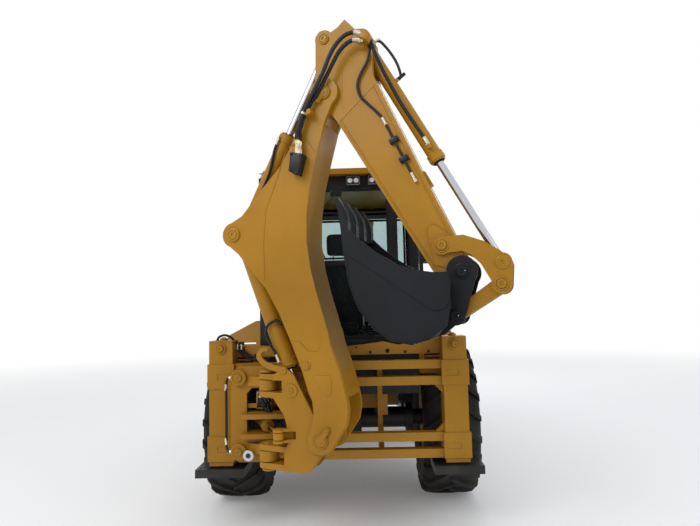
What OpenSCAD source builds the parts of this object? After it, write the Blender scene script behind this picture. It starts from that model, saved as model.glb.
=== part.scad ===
// Backhoe loader: a side-shift digging arm behind and a loader bucket in front.
// Millimetres. +Y is forward, +X is the machine's right, +Z is up, and the ground is z = 0.
// Lengths are counted from the rear face of the rear frame; placed() then centres the machine.

/* [Part] */
// Node to draw, or all of them

/* [Machine] */
// Distance from the rear frame's face to the rear axle
rear_axle_y = 1000; // [900:10:1100]
// Distance between the axles
wheelbase = 2200; // [2100:10:2300]
// Width over the rear frame's sleeves
frame_w = 1960; // [1860:10:2060]
// Width of the loader bucket
loader_w = 2400; // [2300:10:2500]
// Height of the cab roof's top
roof_top = 2812; // [2780:2:2940]

/* [Wheels] */
// Rear tyre outer radius
rear_r = 655; // [640:1:670]
// Rear tyre width
rear_tyre_w = 490; // [460:5:500]
// Rear tyre's middle, out from the centre line
rear_track = 905; // [890:5:920]
// Front tyre outer radius
front_r = 490; // [470:1:500]
// Front tyre width
front_tyre_w = 310; // [290:5:320]
// Front tyre's middle, out from the centre line
front_track = 905; // [890:5:920]
// Steering pivot, out from the centre line
kingpin_x = 700; // [680:5:720]

/* [Digging arm] */
// Side-shift position of the carriage at rest
shift_x = -470; // [-470:10:-470]
// Distance of the swing axis behind the rear frame's face
swing_back = 280; // [270:5:290]
// How far the arm is turned behind the frame's plane at rest
arm_turn = 16; // [14:1:18]
// Half width inside the boom's foot and tip forks
fork_in = 118; // [116:1:122]
// Half width over the boom's side plates
fork_out = 150; // [146:1:154]
// Half width of the dipper
dipper_half = 108; // [104:1:110]
// Width of the digging bucket
digger_w = 620; // [580:10:660]
// Radius of the thick arm hoses
thick_hose_r = 15; // [13:1:16]
// Radius of the thin arm hoses
thin_hose_r = 10; // [8:1:11]
// Height of the raised plates welded on the arm
doubler_t = 5; // [3:1:6]
// Number of digging bucket teeth
digger_teeth = 4; // [3:1:5]

/* [Cab] */
// Half width of the cab from the door pillars forward
cab_x = 740; // [720:5:760]
// Half width of the cab at its rear face
cab_rear_x = 640; // [620:5:660]

/* [Loader] */
// Arm's middle, out from the centre line
arm_x = 470; // [465:1:475]
// Arm thickness
arm_w = 80; // [70:1:90]

/* [Clearances] */
// Gap between a pin and the bore it turns in
pin_gap = 0.4; // [0.3:0.1:0.6]
// Gap between a sliding rod and its barrel
rod_gap = 0.5; // [0.3:0.1:1]
// Gap at faces that run against one another
seat_gap = 0.3; // [0.3:0.1:1]
// Gap between pieces that move past one another
move_gap = 6; // [5:1:10]

/* [Hidden] */
$fn = 48;

front_axle_y = rear_axle_y + wheelbase;
rail_x0 = 300;
rail_x1 = 380;
rail_z0 = 800;
rail_z1 = 960;

// Rear frame
post_x0 = 790;
post_x1 = 968;
post_top = 1424;
post_bottom = 500;
leg_x0 = 809;
leg_x1 = 949;
upper_z0 = 1065;
upper_z1 = 1250;
lower_z0 = 532;
lower_z1 = 717;
rail_t = 64;
rail_y0 = 20;
rail_y1 = 100;

tow_y = 3925;
frame_y1 = 3880;

// Digging arm, in its own plane: [distance from the swing axis, height]
foot = [443, 796];
hump = [-183, 2179];
tip = [504, 3113];
ram_pin = [218, 1106];
dip_lobe = [500, 3506];
ram_lobe = [765, 3470];
bucket_pin = [1384, 1861];
ear_pin = [1335, 1588];
lever_pin = [1266, 2027];
lever_end = [1618, 1776];
lever_rod = [1628, 1905];
swing_z = 812;
swing_z_right = 955;
trunnion_dx = 75;
trunnion_y = -10;
swing_lug = [140, 150];

// Loader, in its side plane: [distance forward, height]
arm_pivot = [2120, 1500];
arm_end = [4350, 520];
lift_base = [2190, 854];
lift_eye = [3330, 1090];
crank_pin = [3650, 1230];
tilt_base = [2400, 1700];
roll_back = 42;
lever_len = 331;
lever_turn = 118;
crank_link = crank_pin + lever_len * [cos(lever_turn), sin(lever_turn)];
link_pin = arm_end + lever_len * [cos(lever_turn), sin(lever_turn)];
crank_rod = crank_pin + 300 * [cos(145), sin(145)];
lip = [1050, -152];

function ang(p, q) = atan2(q[1] - p[1], q[0] - p[0]);
function len2(p, q) = norm(q - p);
function turn(v, a) = [v[0] * cos(a) - v[1] * sin(a), v[0] * sin(a) + v[1] * cos(a)];

function lb(y, z) = arm_end + turn([y, z], roll_back);

// Reach behind the rear frame's face, and the middle of the whole length
rear_reach = swing_back + 1330 * sin(arm_turn) + digger_w / 2 * cos(arm_turn);
middle_y = (lb(lip[0], lip[1])[0] - rear_reach) / 2;

module placed() translate([0, -middle_y, 0]) children();
module arm_plane() placed() translate([shift_x, -swing_back, 0]) rotate([0, 0, -arm_turn]) children();
module side_plane(x) placed() translate([x, 0, 0]) rotate([0, 0, 90]) children();
module both_sides() {
  children();
  mirror([1, 0, 0]) children();
}

// A flat shape drawn in a plane of [across, up], as thick as y0 to y1
module slab(y0, y1) rotate([90, 0, 0]) translate([0, 0, -y1]) linear_extrude(y1 - y0) children();
module slabs(y0, y1) {
  slab(y0, y1) children();
  slab(-y1, -y0) children();
}
// The same across the machine, drawn in a plane of [forward, up]
module across(x0, x1) translate([x0, 0, 0]) rotate([90, 0, 90]) linear_extrude(x1 - x0) children();
module pin(p, r, y0, y1) translate([p[0], y0, p[1]]) rotate([-90, 0, 0]) cylinder(r = r, h = y1 - y0);
module disc(p, r) translate(p) circle(r);
// Flat bar with round ends of two sizes
module bar(p, q, rp, rq) {
  b = acos((rp - rq) / len2(p, q));
  a = ang(p, q);
  disc(p, rp);
  disc(q, rq);
  polygon([p + (rp - 0.4) * [cos(a + b), sin(a + b)], q + (rq - 0.4) * [cos(a + b), sin(a + b)],
    q + (rq - 0.4) * [cos(a - b), sin(a - b)], p + (rp - 0.4) * [cos(a - b), sin(a - b)]]);
}
// Turns a piece built up along z so that it runs from p to q in the plane
module along(p, q) translate([p[0], 0, p[1]]) rotate([0, 90 - ang(p, q), 0]) children();
module box(x0, x1, y0, y1, z0, z1) translate([x0, y0, z0]) cube([x1 - x0, y1 - y0, z1 - z0]);

// Hydraulic barrel from its base pin: tube, gland ring, eye of half width w
module barrel(r, length, rod_r, eye_r, w, pin_r) {
  difference() {
    union() {
      rotate([90, 0, 0]) cylinder(r = eye_r, h = 2 * w, center = true);
      box(-eye_r * 0.8, eye_r * 0.8, -w, w, 0, eye_r + 12);
      translate([0, 0, eye_r + 8]) cylinder(r = r, h = length - eye_r - 8);
      translate([0, 0, length - 60]) cylinder(r = r + 6, h = 48);
    }
    rotate([90, 0, 0]) cylinder(r = pin_r + pin_gap, h = 4 * w, center = true);
    translate([0, 0, eye_r + 26]) cylinder(r = rod_r + rod_gap, h = length);
  }
}
// Rod that reaches back from its eye, which sits at full length from the base pin
module rod(rod_r, length, reach, eye_r, w) {
  translate([0, 0, length - reach]) cylinder(r = rod_r, h = reach - eye_r * 0.5);
  translate([0, 0, length]) rotate([90, 0, 0]) cylinder(r = eye_r, h = 2 * w, center = true);
}

// Tube swept along a route of points, as a ring of facets at each smoothed point
function spline(p, i, t) = let (a = p[max(i - 1, 0)], b = p[i], c = p[i + 1], d = p[min(i + 2, len(p) - 1)])
  0.5 * (2 * b + (c - a) * t + (2 * a - 5 * b + 4 * c - d) * t * t + (3 * b - a - 3 * c + d) * t * t * t);
function smooth(p, n) = [for (i = [0:len(p) - 2], k = [0:n - 1]) spline(p, i, k / n), p[len(p) - 1]];
function way(p, i) = let (v = p[min(i + 1, len(p) - 1)] - p[max(i - 1, 0)]) v / norm(v);
function ring(p, i, r, n, side) = let (t = way(p, i), c = cross(t, side), u = c / norm(c), w = cross(t, u))
  [for (k = [0:n - 1]) p[i] + r * (u * cos(360 * k / n) + w * sin(360 * k / n))];
module hose(points, r, n, side, sides = 8) {
  p = smooth(points, n);
  last = len(p) - 1;
  rings = [for (i = [0:last]) each ring(p, i, r, sides, side)];
  first_end = [for (k = [0:sides - 1]) k];
  last_end = [for (k = [sides - 1:-1:0]) last * sides + k];
  walls = [for (i = [0:last - 1], k = [0:sides - 1]) let (a = i * sides + k,
    b = i * sides + (k + 1) % sides)
    each [[a, a + sides, b + sides], [a, b + sides, b]]];
  polyhedron(rings, concat([first_end], walls, [last_end]));
}

// Running gear
module tyre_profile(r, w, rim_r) {
  h = w / 2;
  polygon([[rim_r, -h * 0.78], [rim_r + 30, -h * 0.9], [r - 90, -h], [r - 45, -h * 0.97],
    [r - 26, -h * 0.82],
    [r - 22, 0], [r - 26, h * 0.82], [r - 45, h * 0.97], [r - 90, h], [rim_r + 30, h * 0.9],
    [rim_r, h * 0.78]]);
}
module rim_profile(r, w, hub_r, dish) {
  h = w / 2;
  polygon([[r - 22, -h * 0.8], [r + 12, -h * 0.8], [r + 12, -h * 0.72], [r, -h * 0.66], [r, h * 0.66],
    [r + 12, h * 0.72], [r + 12, h * 0.8], [r - 22, h * 0.8], [r - 22, dish + 10], [hub_r, dish + 10],
    [hub_r, dish + 30], [0, dish + 30], [0, dish - 12], [r - 22, dish - 12]]);
}
module lugs(r, w, count, depth, thick, sweep) {
  for (i = [0:count - 1], side = [-1, 1]) {
    rotate([0, 0, 360 / count * (i + (side > 0 ? 0.5 : 0))])
      translate([r - 40, 0, side * w * 0.235]) rotate([side * sweep, 0, 0])
        translate([0, -thick / 2, -w * 0.27]) cube([40 - (depth > 0 ? 2 : 0), thick, w * 0.54]);
  }
}
// Wheel about its own axle, outer side at +z
module wheel(r, w, rim_r, hub_r, dish, count, thick) {
  difference() {
    union() {
      rotate_extrude($fn = 64) tyre_profile(r, w, rim_r);
      rotate_extrude($fn = 48) rim_profile(rim_r, w, hub_r, dish);
      intersection() {
        lugs(r, w, count, 20, thick, 38);
        cylinder(r = r, h = w * 1.2, center = true, $fn = 64);
      }
    }
    for (i = [0:7]) rotate([0, 0, 45 * i]) translate([hub_r + 55, 0, dish - 30])
      cylinder(r = 16, h = 60, $fn = 12);
  }
}
module wheel_at(side, x, y, z) placed() translate([side * x, y, z]) rotate([0, side * 90, 0]) children();
module rear_wheel(side) wheel_at(side, rear_track, rear_axle_y, rear_r)
  wheel(rear_r, rear_tyre_w, 320, 140, 40, 22, 46);
module front_wheel(side) wheel_at(side, front_track, front_axle_y, front_r)
  wheel(front_r, front_tyre_w, 240, 95, 20, 20, 34);

module wheel_rear_left() color("#222222") rear_wheel(-1);
module wheel_rear_right() color("#222222") rear_wheel(1);
module wheel_front_left() color("#222222") front_wheel(-1);
module wheel_front_right() color("#222222") front_wheel(1);

module rear_axle() color("#222222") placed() translate([0, rear_axle_y, rear_r]) {
  rotate([0, 90, 0]) cylinder(r = 92, h = 1240, center = true);
  rotate([0, 90, 0]) cylinder(r = 140, h = 320, center = true);
  both_sides() {
    translate([560, 0, 0]) rotate([0, 90, 0]) cylinder(r = 128, h = 60);
    translate([600, 0, 0]) rotate([0, 90, 0]) cylinder(r = 70, h = rear_track - 600 + 40 - 12 - seat_gap);
    translate([340, -110, 60]) box(-60, 40, 0, 220, 0, rail_z0 - rear_r - 60);
  }
}

module front_axle() color("#222222") placed() translate([0, front_axle_y, front_r]) {
  across(-620, 620) polygon([[-70, -70], [70, -70], [60, 70], [-60, 70]]);
  rotate([90, 0, 0]) cylinder(r = 95, h = 350, center = true);
  both_sides() {
    translate([kingpin_x, 0, 0]) {
      box(-110, 45, -50, 50, 62, 96);
      box(-110, 45, -50, 50, -96, -62);
      box(-110, -64, -50, 50, -96, 96);
      translate([0, 0, -96]) cylinder(r = 24, h = 192);
    }
  }
}
module knuckle(side) color("#222222") placed() translate([side * kingpin_x, front_axle_y, front_r])
  scale([side, 1, 1]) {
  difference() {
    union() {
      translate([0, 0, -56]) cylinder(r = 46, h = 112);
      translate([30, 0, 0]) rotate([0, 90, 0]) cylinder(r = 62, h = 40);
      translate([60, 0, 0]) rotate([0, 90, 0]) cylinder(r = 45,
        h = front_track - kingpin_x - 60 + 20 - 12 - seat_gap);
      box(-20, 8, -170, -38, -20, 10);
    }
    translate([0, 0, -60]) cylinder(r = 24 + pin_gap, h = 120);
  }
}
module knuckle_left() knuckle(-1);
module knuckle_right() knuckle(1);

// Chassis
tower_x0 = arm_x - 78;
tower_x1 = arm_x + 78;
module chassis() color("#b8862b") placed() {
  both_sides() {
    box(rail_x0, rail_x1, 300, frame_y1, rail_z0, rail_z1);
    // link plates to the rear frame, with the swing barrels' way left open between them
    difference() {
      across(rail_x0, rail_x1 - 40) polygon([[rail_y1, upper_z0], [300, upper_z0], [300, rail_z1 - 10],
        [328, rail_z1 - 10], [328, 1190], [280, upper_z1 - 20], [rail_y1, upper_z1 - 20]]);
      box(0, 400, 50, 152, 1100, 1215);
    }
    difference() {
      across(rail_x0, rail_x1 - 40) polygon([[rail_y1, lower_z0], [420, lower_z0], [620, rail_z0 + 20],
        [340, rail_z0 + 20],
        [330, lower_z1], [rail_y1, lower_z1]]);
      box(0, 400, 50, 152, 567, 682);
    }
    // loader towers: two plates each, joined behind and below
    across(tower_x0, tower_x0 + 22) tower_side();
    across(tower_x1 - 22, tower_x1) tower_side();
    box(tower_x0, tower_x1, 1960, 1985, 640, 1420);
    box(rail_x1 - 10, tower_x1, 1960, 2330, 600, 640);
    box(rail_x1 - 10, tower_x0 + 8, 2000, 2240, rail_z0, rail_z1);
    box(rail_x1 - 10, rail_x1, 1960, 2330, 600, rail_z0 + 20);
    pin_side(arm_pivot, 34, tower_x0 - 6, tower_x1 + 14);
    pin_side(lift_base, 30, tower_x0 - 6, tower_x1 + 14);
  }
  box(-rail_x0 - 5, rail_x0 + 5, 640, 760, rail_z0, rail_z1);
  box(-rail_x0 - 5, rail_x0 + 5, 1900, 2000, rail_z0, rail_z1);
  box(-rail_x0 - 5, rail_x0 + 5, 3780, frame_y1, rail_z0, rail_z1);
  // tow plate with its pin bore, bolted on in front of the front cross member
  difference() {
    union() {
      box(-80, 80, frame_y1 + seat_gap, tow_y, 860, 900);
      translate([0, tow_y, 860]) cylinder(r = 44, h = 40);
    }
    translate([0, tow_y, 850]) cylinder(r = 18, h = 60);
  }
  difference() {
    box(-rail_x0 - 5, rail_x0 + 5, front_axle_y - 215, front_axle_y + 215, 640, rail_z0 + 60);
    box(-150, 150, front_axle_y - 176, front_axle_y + 176, 500, 700);
  }
  both_sides() box(-20, rail_x0 + 5, front_axle_y + 175, front_axle_y + 215, 470, 660);
  both_sides() box(-20, rail_x0 + 5, front_axle_y - 215, front_axle_y - 175, 470, 660);
}
module tower_side() {
  polygon([[1960, 600], [2330, 600], [2330, 760], [2240, 1200], [2225, 1500], [2015, 1500], [1960, 1300]]);
  disc(arm_pivot, 105);
}
module pin_side(p, r, x0, x1) translate([x0, p[0], p[1]]) rotate([0, 90, 0]) cylinder(r = r, h = x1 - x0);

module engine_block() color("#3a3a3a") placed() {
  box(-280, 280, 2620, 3560, 980, 1420);
  both_sides() for (y = [2760, 3340]) {
    box(230, rail_x0, y, y + 90, 880, 930);
    box(230, 270, y, y + 90, 925, 985);
  }
}

module hood_side() polygon([[2570, 1010], [3830, 1010], [3900, 1120], [3900, 1500], [3860, 1545],
  [2570, 1740]]);
module hood() color("#b8862b") {
  hood_shell();
  placed() both_sides() across(237, 263) hood_knuckle();
}
module hood_shell() placed() difference() {
  across(-380, 380) hood_side();
  across(-364, 364) polygon([[2500, 900], [3884, 900], [3884, 1494], [3852, 1529], [2500, 1734]]);
  // grille opening in front
  box(-300, 300, 3850, 3950, 1090, 1470);
  both_sides() for (i = [0:5]) box(350, 400, 2800 + i * 60, 2836 + i * 60, 1200, 1400);
}
hood_pin = [2564, 1756];
module hood_knuckle() difference() {
  union() {
    disc(hood_pin, 12);
    polygon([[2566, 1768], [2610, 1740], [2610, 1728], [2574, 1736]]);
  }
  disc(hood_pin, 6 + pin_gap);
}
module hood_lug() {
  disc(hood_pin, 12);
  polygon([[2520, 1744], [2558, 1738], [2572, 1748], [2564, 1768], [2520, 1756]]);
}
module nose() color("#222222") placed() {
  box(-296, 296, 3838, 3854, rail_z1, 1466);
  for (i = [0:7]) box(-290, 290, 3852, 3866, 1110 + i * 44, 1126 + i * 44);
  both_sides() translate([235, 3850, 1400]) rotate([-90, 0, 0]) cylinder(r = 45, h = 22);
}
module cowl() color("#b8862b") placed() {
  difference() {
    across(-380, 380) polygon([[2150, rail_z1], [2558, rail_z1], [2558, 1742], [2300, 1782], [2150, 1782]]);
    across(-364, 364) polygon([[2166, 900], [2600, 900], [2600, 1720], [2300, 1766], [2166, 1766]]);
  }
  both_sides() {
    across(224, 236) hood_lug();
    across(264, 276) hood_lug();
    across(224, 276) disc(hood_pin, 6);
  }
  translate([290, 2440, 1700]) cylinder(r = 46, h = 960);
  translate([290, 2440, 2640]) cylinder(r = 54, h = 60);
}

// Cab
cab_y0 = 330;
cab_y1 = 1950;
floor_z = 1040;
sill_z = 1600;
band_z = 2640;
door_pin = [cab_x + 48, 1906];
hinge_heights = [1240, 2300];
module cab_frame() color("#222222") {
  cab_body();
  both_sides() for (z = hinge_heights) {
    for (dz = [0, 60]) {
      door_hinge(12, z + dz, z + dz + 10);
      placed() box(cab_x - 10, door_pin[0], 1901, 1911, z + dz, z + dz + 10);
    }
    door_hinge(7, z, z + 70);
  }
}
// The side's half width at a place along the cab, and a wall that follows it
function side_x(y) = y < 1060 ? cab_rear_x + (cab_x - cab_rear_x) * (y - cab_y0) / (1060 - cab_y0) : cab_x;
module side_wall(y0, y1, inner, outer, z0, z1) translate([0, 0, z0]) linear_extrude(z1 - z0)
  polygon([for (y = [y0, max(y0, min(y1, 1060)), y1]) [side_x(y) - outer, y],
    for (y = [y1, max(y0, min(y1, 1060)), y0]) [side_x(y) - inner, y]]);
module lamp_box(x, y0, y1, open_y0, open_y1) difference() {
  box(x - 60, x + 60, y0, y1, 2655, 2742);
  box(x - 52, x + 52, open_y0, open_y1, 2663, 2734);
}
module cab_body() placed() {
  // floor and lower body, narrow between the rear wheels and wide ahead of them
  box(-640, 640, cab_y0, cab_y1, rail_z1, floor_z);
  difference() {
    box(-640, 640, cab_y0, cab_y1, floor_z - 10, sill_z);
    box(-600, 600, cab_y0 + 40, cab_y1 - 40, floor_z, sill_z + 10);
    box(-700, 700, 1700, 1906, floor_z + 60, sill_z + 10);
    box(-430, 430, cab_y0 - 20, cab_y0 + 60, 1400, sill_z + 10);
    box(-560, 560, cab_y1 - 60, cab_y1 + 20, 1500, sill_z + 10);
  }
  both_sides() {
    box(590, cab_x, 1700, cab_y1, rail_z1, floor_z + 20);
    // window sills, posts and header
    side_wall(cab_y0, 1690, 90, 0, sill_z - 30, sill_z + 20);
    box(cab_x - 60, cab_x - 6, 1060, 1120, sill_z, band_z + 60);
    box(cab_x - 60, cab_x, cab_y1 - 50, cab_y1, floor_z - 40, band_z + 60);
    box(430, 490, cab_y0, cab_y0 + 50, 1560, band_z + 60);
    box(cab_rear_x - 46, cab_rear_x, cab_y0, cab_y0 + 50, sill_z, band_z + 60);
    side_wall(cab_y0, cab_y1, 52, 0, band_z, band_z + 105);
    box(545, cab_x - 10, cab_y1 - 45, cab_y1, floor_z - 20, floor_z + 560);
    // mirror on its arm
    box(cab_x - 40, cab_x - 10, cab_y1 - 5, cab_y1 + 50, 2290, 2316);
    box(cab_x - 40, 940, cab_y1 + 30, cab_y1 + 50, 2290, 2316);
    box(830, 985, cab_y1 + 49, cab_y1 + 74, 2140, 2420);
  }
  box(-cab_rear_x, cab_rear_x, cab_y0, cab_y0 + 50, band_z, band_z + 105);
  box(-cab_x, cab_x, cab_y1 - 50, cab_y1, band_z, band_z + 105);
  // work lamps behind and in front
  for (x = [-325, -146, 146, 325]) lamp_box(x, cab_y0 - 34, cab_y0 + 5, cab_y0 - 40, cab_y0 - 24);
  for (x = [-560, -330, 330, 560]) lamp_box(x, cab_y1 - 5, cab_y1 + 34, cab_y1 + 24, cab_y1 + 40);
  // ledge and frame round the rear window's opening half
  for (z = [2010, 2385]) box(-432, 432, cab_y0 + 6, cab_y0 + 20, z, z + 26);
}
module roof_plan(e) polygon([for (side = [1, -1], k = [0:4]) let (i = side > 0 ? k : 4 - k,
  p = [[590 - e, 250 + e], [655 - e, 470 + e / 2], [cab_x - 5 - e, 1060], [cab_x + 20 - e, 1850 - e / 2],
  [600 - e, 2080 - e]][i]) [side * p[0], p[1]]]);
module cab_roof() color("#b8862b") placed() {
  translate([0, 0, band_z + 105]) linear_extrude(38) roof_plan(0);
  translate([0, 0, band_z + 143]) linear_extrude(9) roof_plan(8);
  translate([0, 0, band_z + 152]) linear_extrude(roof_top - band_z - 152) roof_plan(150);
}
module cab_glass() color("#9fb8c0") placed() {
  box(-430, 430, cab_y0 + 20, cab_y0 + 26, 1400, band_z);
  both_sides() {
    box(490, cab_rear_x - 46, cab_y0 + 20, cab_y0 + 26, sill_z + 20, band_z);
    side_wall(cab_y0 + 50, 1060, 30, 24, sill_z + 20, band_z);
  }
  box(-cab_x + 60, cab_x - 60, cab_y1 - 30, cab_y1 - 24, 1600, band_z);
}
module door(side) color("#222222") scale([side, 1, 1]) {
  placed() difference() {
    across(cab_x + 6, cab_x + 38) door_outline(0);
    across(cab_x + 2, cab_x + 19) door_outline(44);
    across(cab_x + 25, cab_x + 42) door_outline(44);
  }
  for (z = hinge_heights) difference() {
    union() {
      door_hinge(12, z + 11, z + 59);
      placed() box(cab_x + 24, door_pin[0], 1880, 1902, z + 11, z + 59);
    }
    door_hinge(7 + pin_gap, z, z + 80);
  }
}
module door_outline(e) polygon([[1894 - e, 1070 + e], [1894 - e, band_z + 20 - e],
  [1070 + e, band_z + 20 - e],
  [1070 + e, 1640 + e], [1420 + e / 2, 1640 + e], [1730 + e, 1400 + e / 2], [1730 + e, 1070 + e]]);
module door_hinge(r, z0, z1) placed() translate([door_pin[0], door_pin[1], z0])
  cylinder(r = r, h = z1 - z0);
module door_left() door(-1);
module door_right() door(1);
module seat() color("#222222") placed() {
  box(-160, 160, 900, 1220, floor_z, floor_z + 330);
  box(-240, 240, 860, 1360, floor_z + 330, floor_z + 450);
  box(-230, 230, 800, 920, floor_z + 440, floor_z + 1080);
  box(-130, 130, 820, 900, floor_z + 1080, floor_z + 1300);
}
module controls() color("#222222") placed() {
  box(-110, 110, 1640, 1800, floor_z, floor_z + 560);
  translate([0, 1600, floor_z + 620]) rotate([30, 0, 0]) difference() {
    cylinder(r = 190, h = 30, center = true);
    cylinder(r = 160, h = 40, center = true);
  }
  translate([0, 1600, floor_z + 620]) rotate([30, 0, 0]) {
    box(-185, 185, -18, 18, -10, 10);
    translate([0, 0, -180]) cylinder(r = 30, h = 190);
  }
  both_sides() {
    box(150, 420, 420, 560, floor_z, floor_z + 420);
    translate([250, 500, floor_z + 400]) cylinder(r = 12, h = 320);
    translate([250, 500, floor_z + 700]) sphere(r = 28);
  }
}

// Fender: an arch over the wheel whose top falls away outwards
fender_x = 920;
module fender_block(e) intersection() {
  across(600, fender_x - e) polygon([[210 + e, 1130], [340 + e, 1400 - e * 0.7], [560, 1560 - e],
    [1450, 1560 - e],
    [1640 - e, 1420 - e * 0.7], [1690 - e, 1130]]);
  slab(200, 1700) polygon([[600, 1100], [fender_x - e, 1100], [fender_x - e, 1446 - e], [720, 1560 - e],
    [600, 1560 - e]]);
}
module fenders() color("#b8862b") placed() both_sides() {
  difference() {
    fender_block(0);
    translate([0, 0, -1]) fender_block(20);
    box(500, fender_x + 10, 330, 1600, 1050, 1390);
    box(500, cab_rear_x, 100, 1800, 1000, 1700);
  }
  across(cab_rear_x, cab_rear_x + 20) polygon([[210, 1130], [340, 1400], [560, 1560], [1450, 1560],
    [1640, 1420], [1690, 1130],
    [1650, 1130], [1560, 1400], [1400, 1480], [600, 1480], [440, 1400], [330, 1130]]);
}
module side_tanks() color("#222222") placed() both_sides() {
  box(tower_x1 + 22, 900, 1760, 2440, 500, 940);
  box(tower_x1, 600, 1980, 2300, 640, 700);
  box(898, 1080, 1800, 2200, 520, 545);
  box(898, 1060, 1800, 2200, 760, 785);
}

// Rear frame and stabilisers
module rear_frame() color("#b8862b") placed() {
  both_sides() difference() {
    union() {
      box(post_x0, post_x1, 0, 190, post_bottom, post_top);
      box(post_x0 - 12, frame_w / 2, -8, 198, upper_z0, upper_z1);
      box(post_x0 - 12, frame_w / 2, -8, 198, lower_z0, lower_z1);
      translate([(post_x0 + post_x1) / 2, -10, 1368]) rotate([-90, 0, 0]) cylinder(r = 40, h = 20);
      translate([(post_x0 + post_x1) / 2, -20, 1368]) rotate([-90, 0, 0]) cylinder(r = 24, h = 20);
    }
    for (z = [upper_z0 + 68, lower_z0 + 68]) box(801, 905, -20, -4, z, z + 46);
    box(leg_x0 - 5, leg_x1 + 5, 17, 173, post_bottom + 60, post_top - 14);
    box(leg_x0 - pin_gap, leg_x1 + pin_gap, 22 - pin_gap, 168 + pin_gap, post_bottom - 10,
      post_bottom + 61);
  }
  for (z = [upper_z0, upper_z1 - rail_t, lower_z0, lower_z1 - rail_t])
    box(-post_x0, post_x0, rail_y0, rail_y1, z, z + rail_t);
  both_sides() {
    slab(40, 80) polygon([[post_x0 + 5, lower_z1 - 5], [post_x0 - 72, lower_z1 - 5],
      [post_x0 + 5, lower_z1 + 72]]);
    slab(40, 80) polygon([[post_x0 + 5, upper_z0 + 5], [post_x0 - 72, upper_z0 + 5],
      [post_x0 + 5, upper_z0 - 72]]);
  }
  // valance under the rear window
  slab(150, 162) difference() {
    polygon([[-post_x0 - 5, 1288], [post_x0 + 5, 1288], [post_x0 + 5, 1409], [652, 1383], [563, 1375],
      [474, 1359], [412, 1373],
      [350, 1388], [207, 1369], [55, 1356], [-300, 1352], [-620, 1376], [-post_x0 - 5, 1376]]);
    disc([384, 1314], 17);
    disc([142, 1346], 8);
  }
}
module stabiliser(side) color("#b8862b") placed() scale([side, 1, 1]) {
  box(leg_x0, leg_x1, 22, 168, 470, post_top - 40);
  box(700, 1060, -55, 245, 430, 490);
}
module stabiliser_left() stabiliser(-1);
module stabiliser_right() stabiliser(1);

// Carriage and kingpost
module carriage() color("#b8862b") placed() translate([shift_x, 0, 0]) {
  difference() {
    slab(-70, -30) polygon([[-320, 600], [-260, 545], [260, 545], [320, 600], [320, 1180], [260, 1238],
      [-260, 1238], [-320, 1180]]);
    slab(-80, -20) polygon([[-200, 902], [200, 902], [200, 1008], [0, 1008], [0, 1080], [-160, 1080],
      [-200, 1040]]);
    slab(-80, -20) polygon([[-200, 755], [200, 755], [200, 870], [-200, 870]]);
  }
  // hinge arms out to the swing axis
  for (z = [1095, 615]) difference() {
    translate([0, 0, z]) linear_extrude(70) union() {
      polygon([[-230, -60], [-62, -150], [-62, -swing_back], [62, -swing_back], [62, -150], [230, -60]]);
      translate([0, -swing_back]) circle(66);
    }
    translate([0, -swing_back, z - 1]) cylinder(r = 32 + pin_gap, h = 72);
  }
  // shelves that hold the swing barrels, the right barrel one step higher
  for (z = [725, 865, 1010]) difference() {
    box(z > 1000 ? -10 : -230, 230, -150, 30, z, z + 35);
    for (side = [-1, 1]) translate([side * trunnion_dx, trunnion_y, z - 1])
      cylinder(r = 20 + pin_gap, h = 37);
  }
  // clamps round the rails
  both_sides() for (z = clamp_z) translate([clamp_x, 0, z]) rotate([90, 0, 0]) {
    translate([0, 0, 30]) cylinder(r = 57, h = 70);
    translate([0, 0, -110]) cylinder(r = 22, h = 145);
    translate([0, 0, -140]) cylinder(r = 46, h = 140 - rail_y1 - seat_gap);
    translate([0, 0, 95]) cylinder(r = 26, h = 16);
  }
  // hose block in the window
  box(-137, -20, -28, 20, 918, 1050);
  box(-206, -130, -44, -26, 930, 962);
}
clamp_x = 255;
clamp_z = [(upper_z0 + upper_z1) / 2, (lower_z0 + lower_z1) / 2];
module carriage_hose() color("#151515") placed() translate([shift_x, 0, 0]) {
  x0 = -clamp_x - 57 - seat_gap;
  hose([[x0, -86, clamp_z[0]], [x0 - 22, -84, clamp_z[0] - 6], [x0 - 38, -72, clamp_z[0] - 40],
    [x0 - 42, -60, clamp_z[0] - 110],
    [x0 - 42, -58, 890], [x0 - 42, -60, clamp_z[1] + 110], [x0 - 38, -72, clamp_z[1] + 40],
    [x0 - 22, -84, clamp_z[1] + 6], [x0, -86, clamp_z[1]]],
    thin_hose_r, 3, [0, 1, 0]);
}
module kingpost_side() {
  polygon([[158, 572], [162, 707], [192, 759], [181, 879], [164, 938], [80, 1061], [80, 1089], [150, 1089],
    [150, 1171], [80, 1171],
    [80, 1205], [140, 1240], [170, 1262], [238, 1210], [312, 1067], [370, 958], [443, 880], [520, 760],
    [428, 680], [332, 568]]);
  disc(foot, 92);
}
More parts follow.
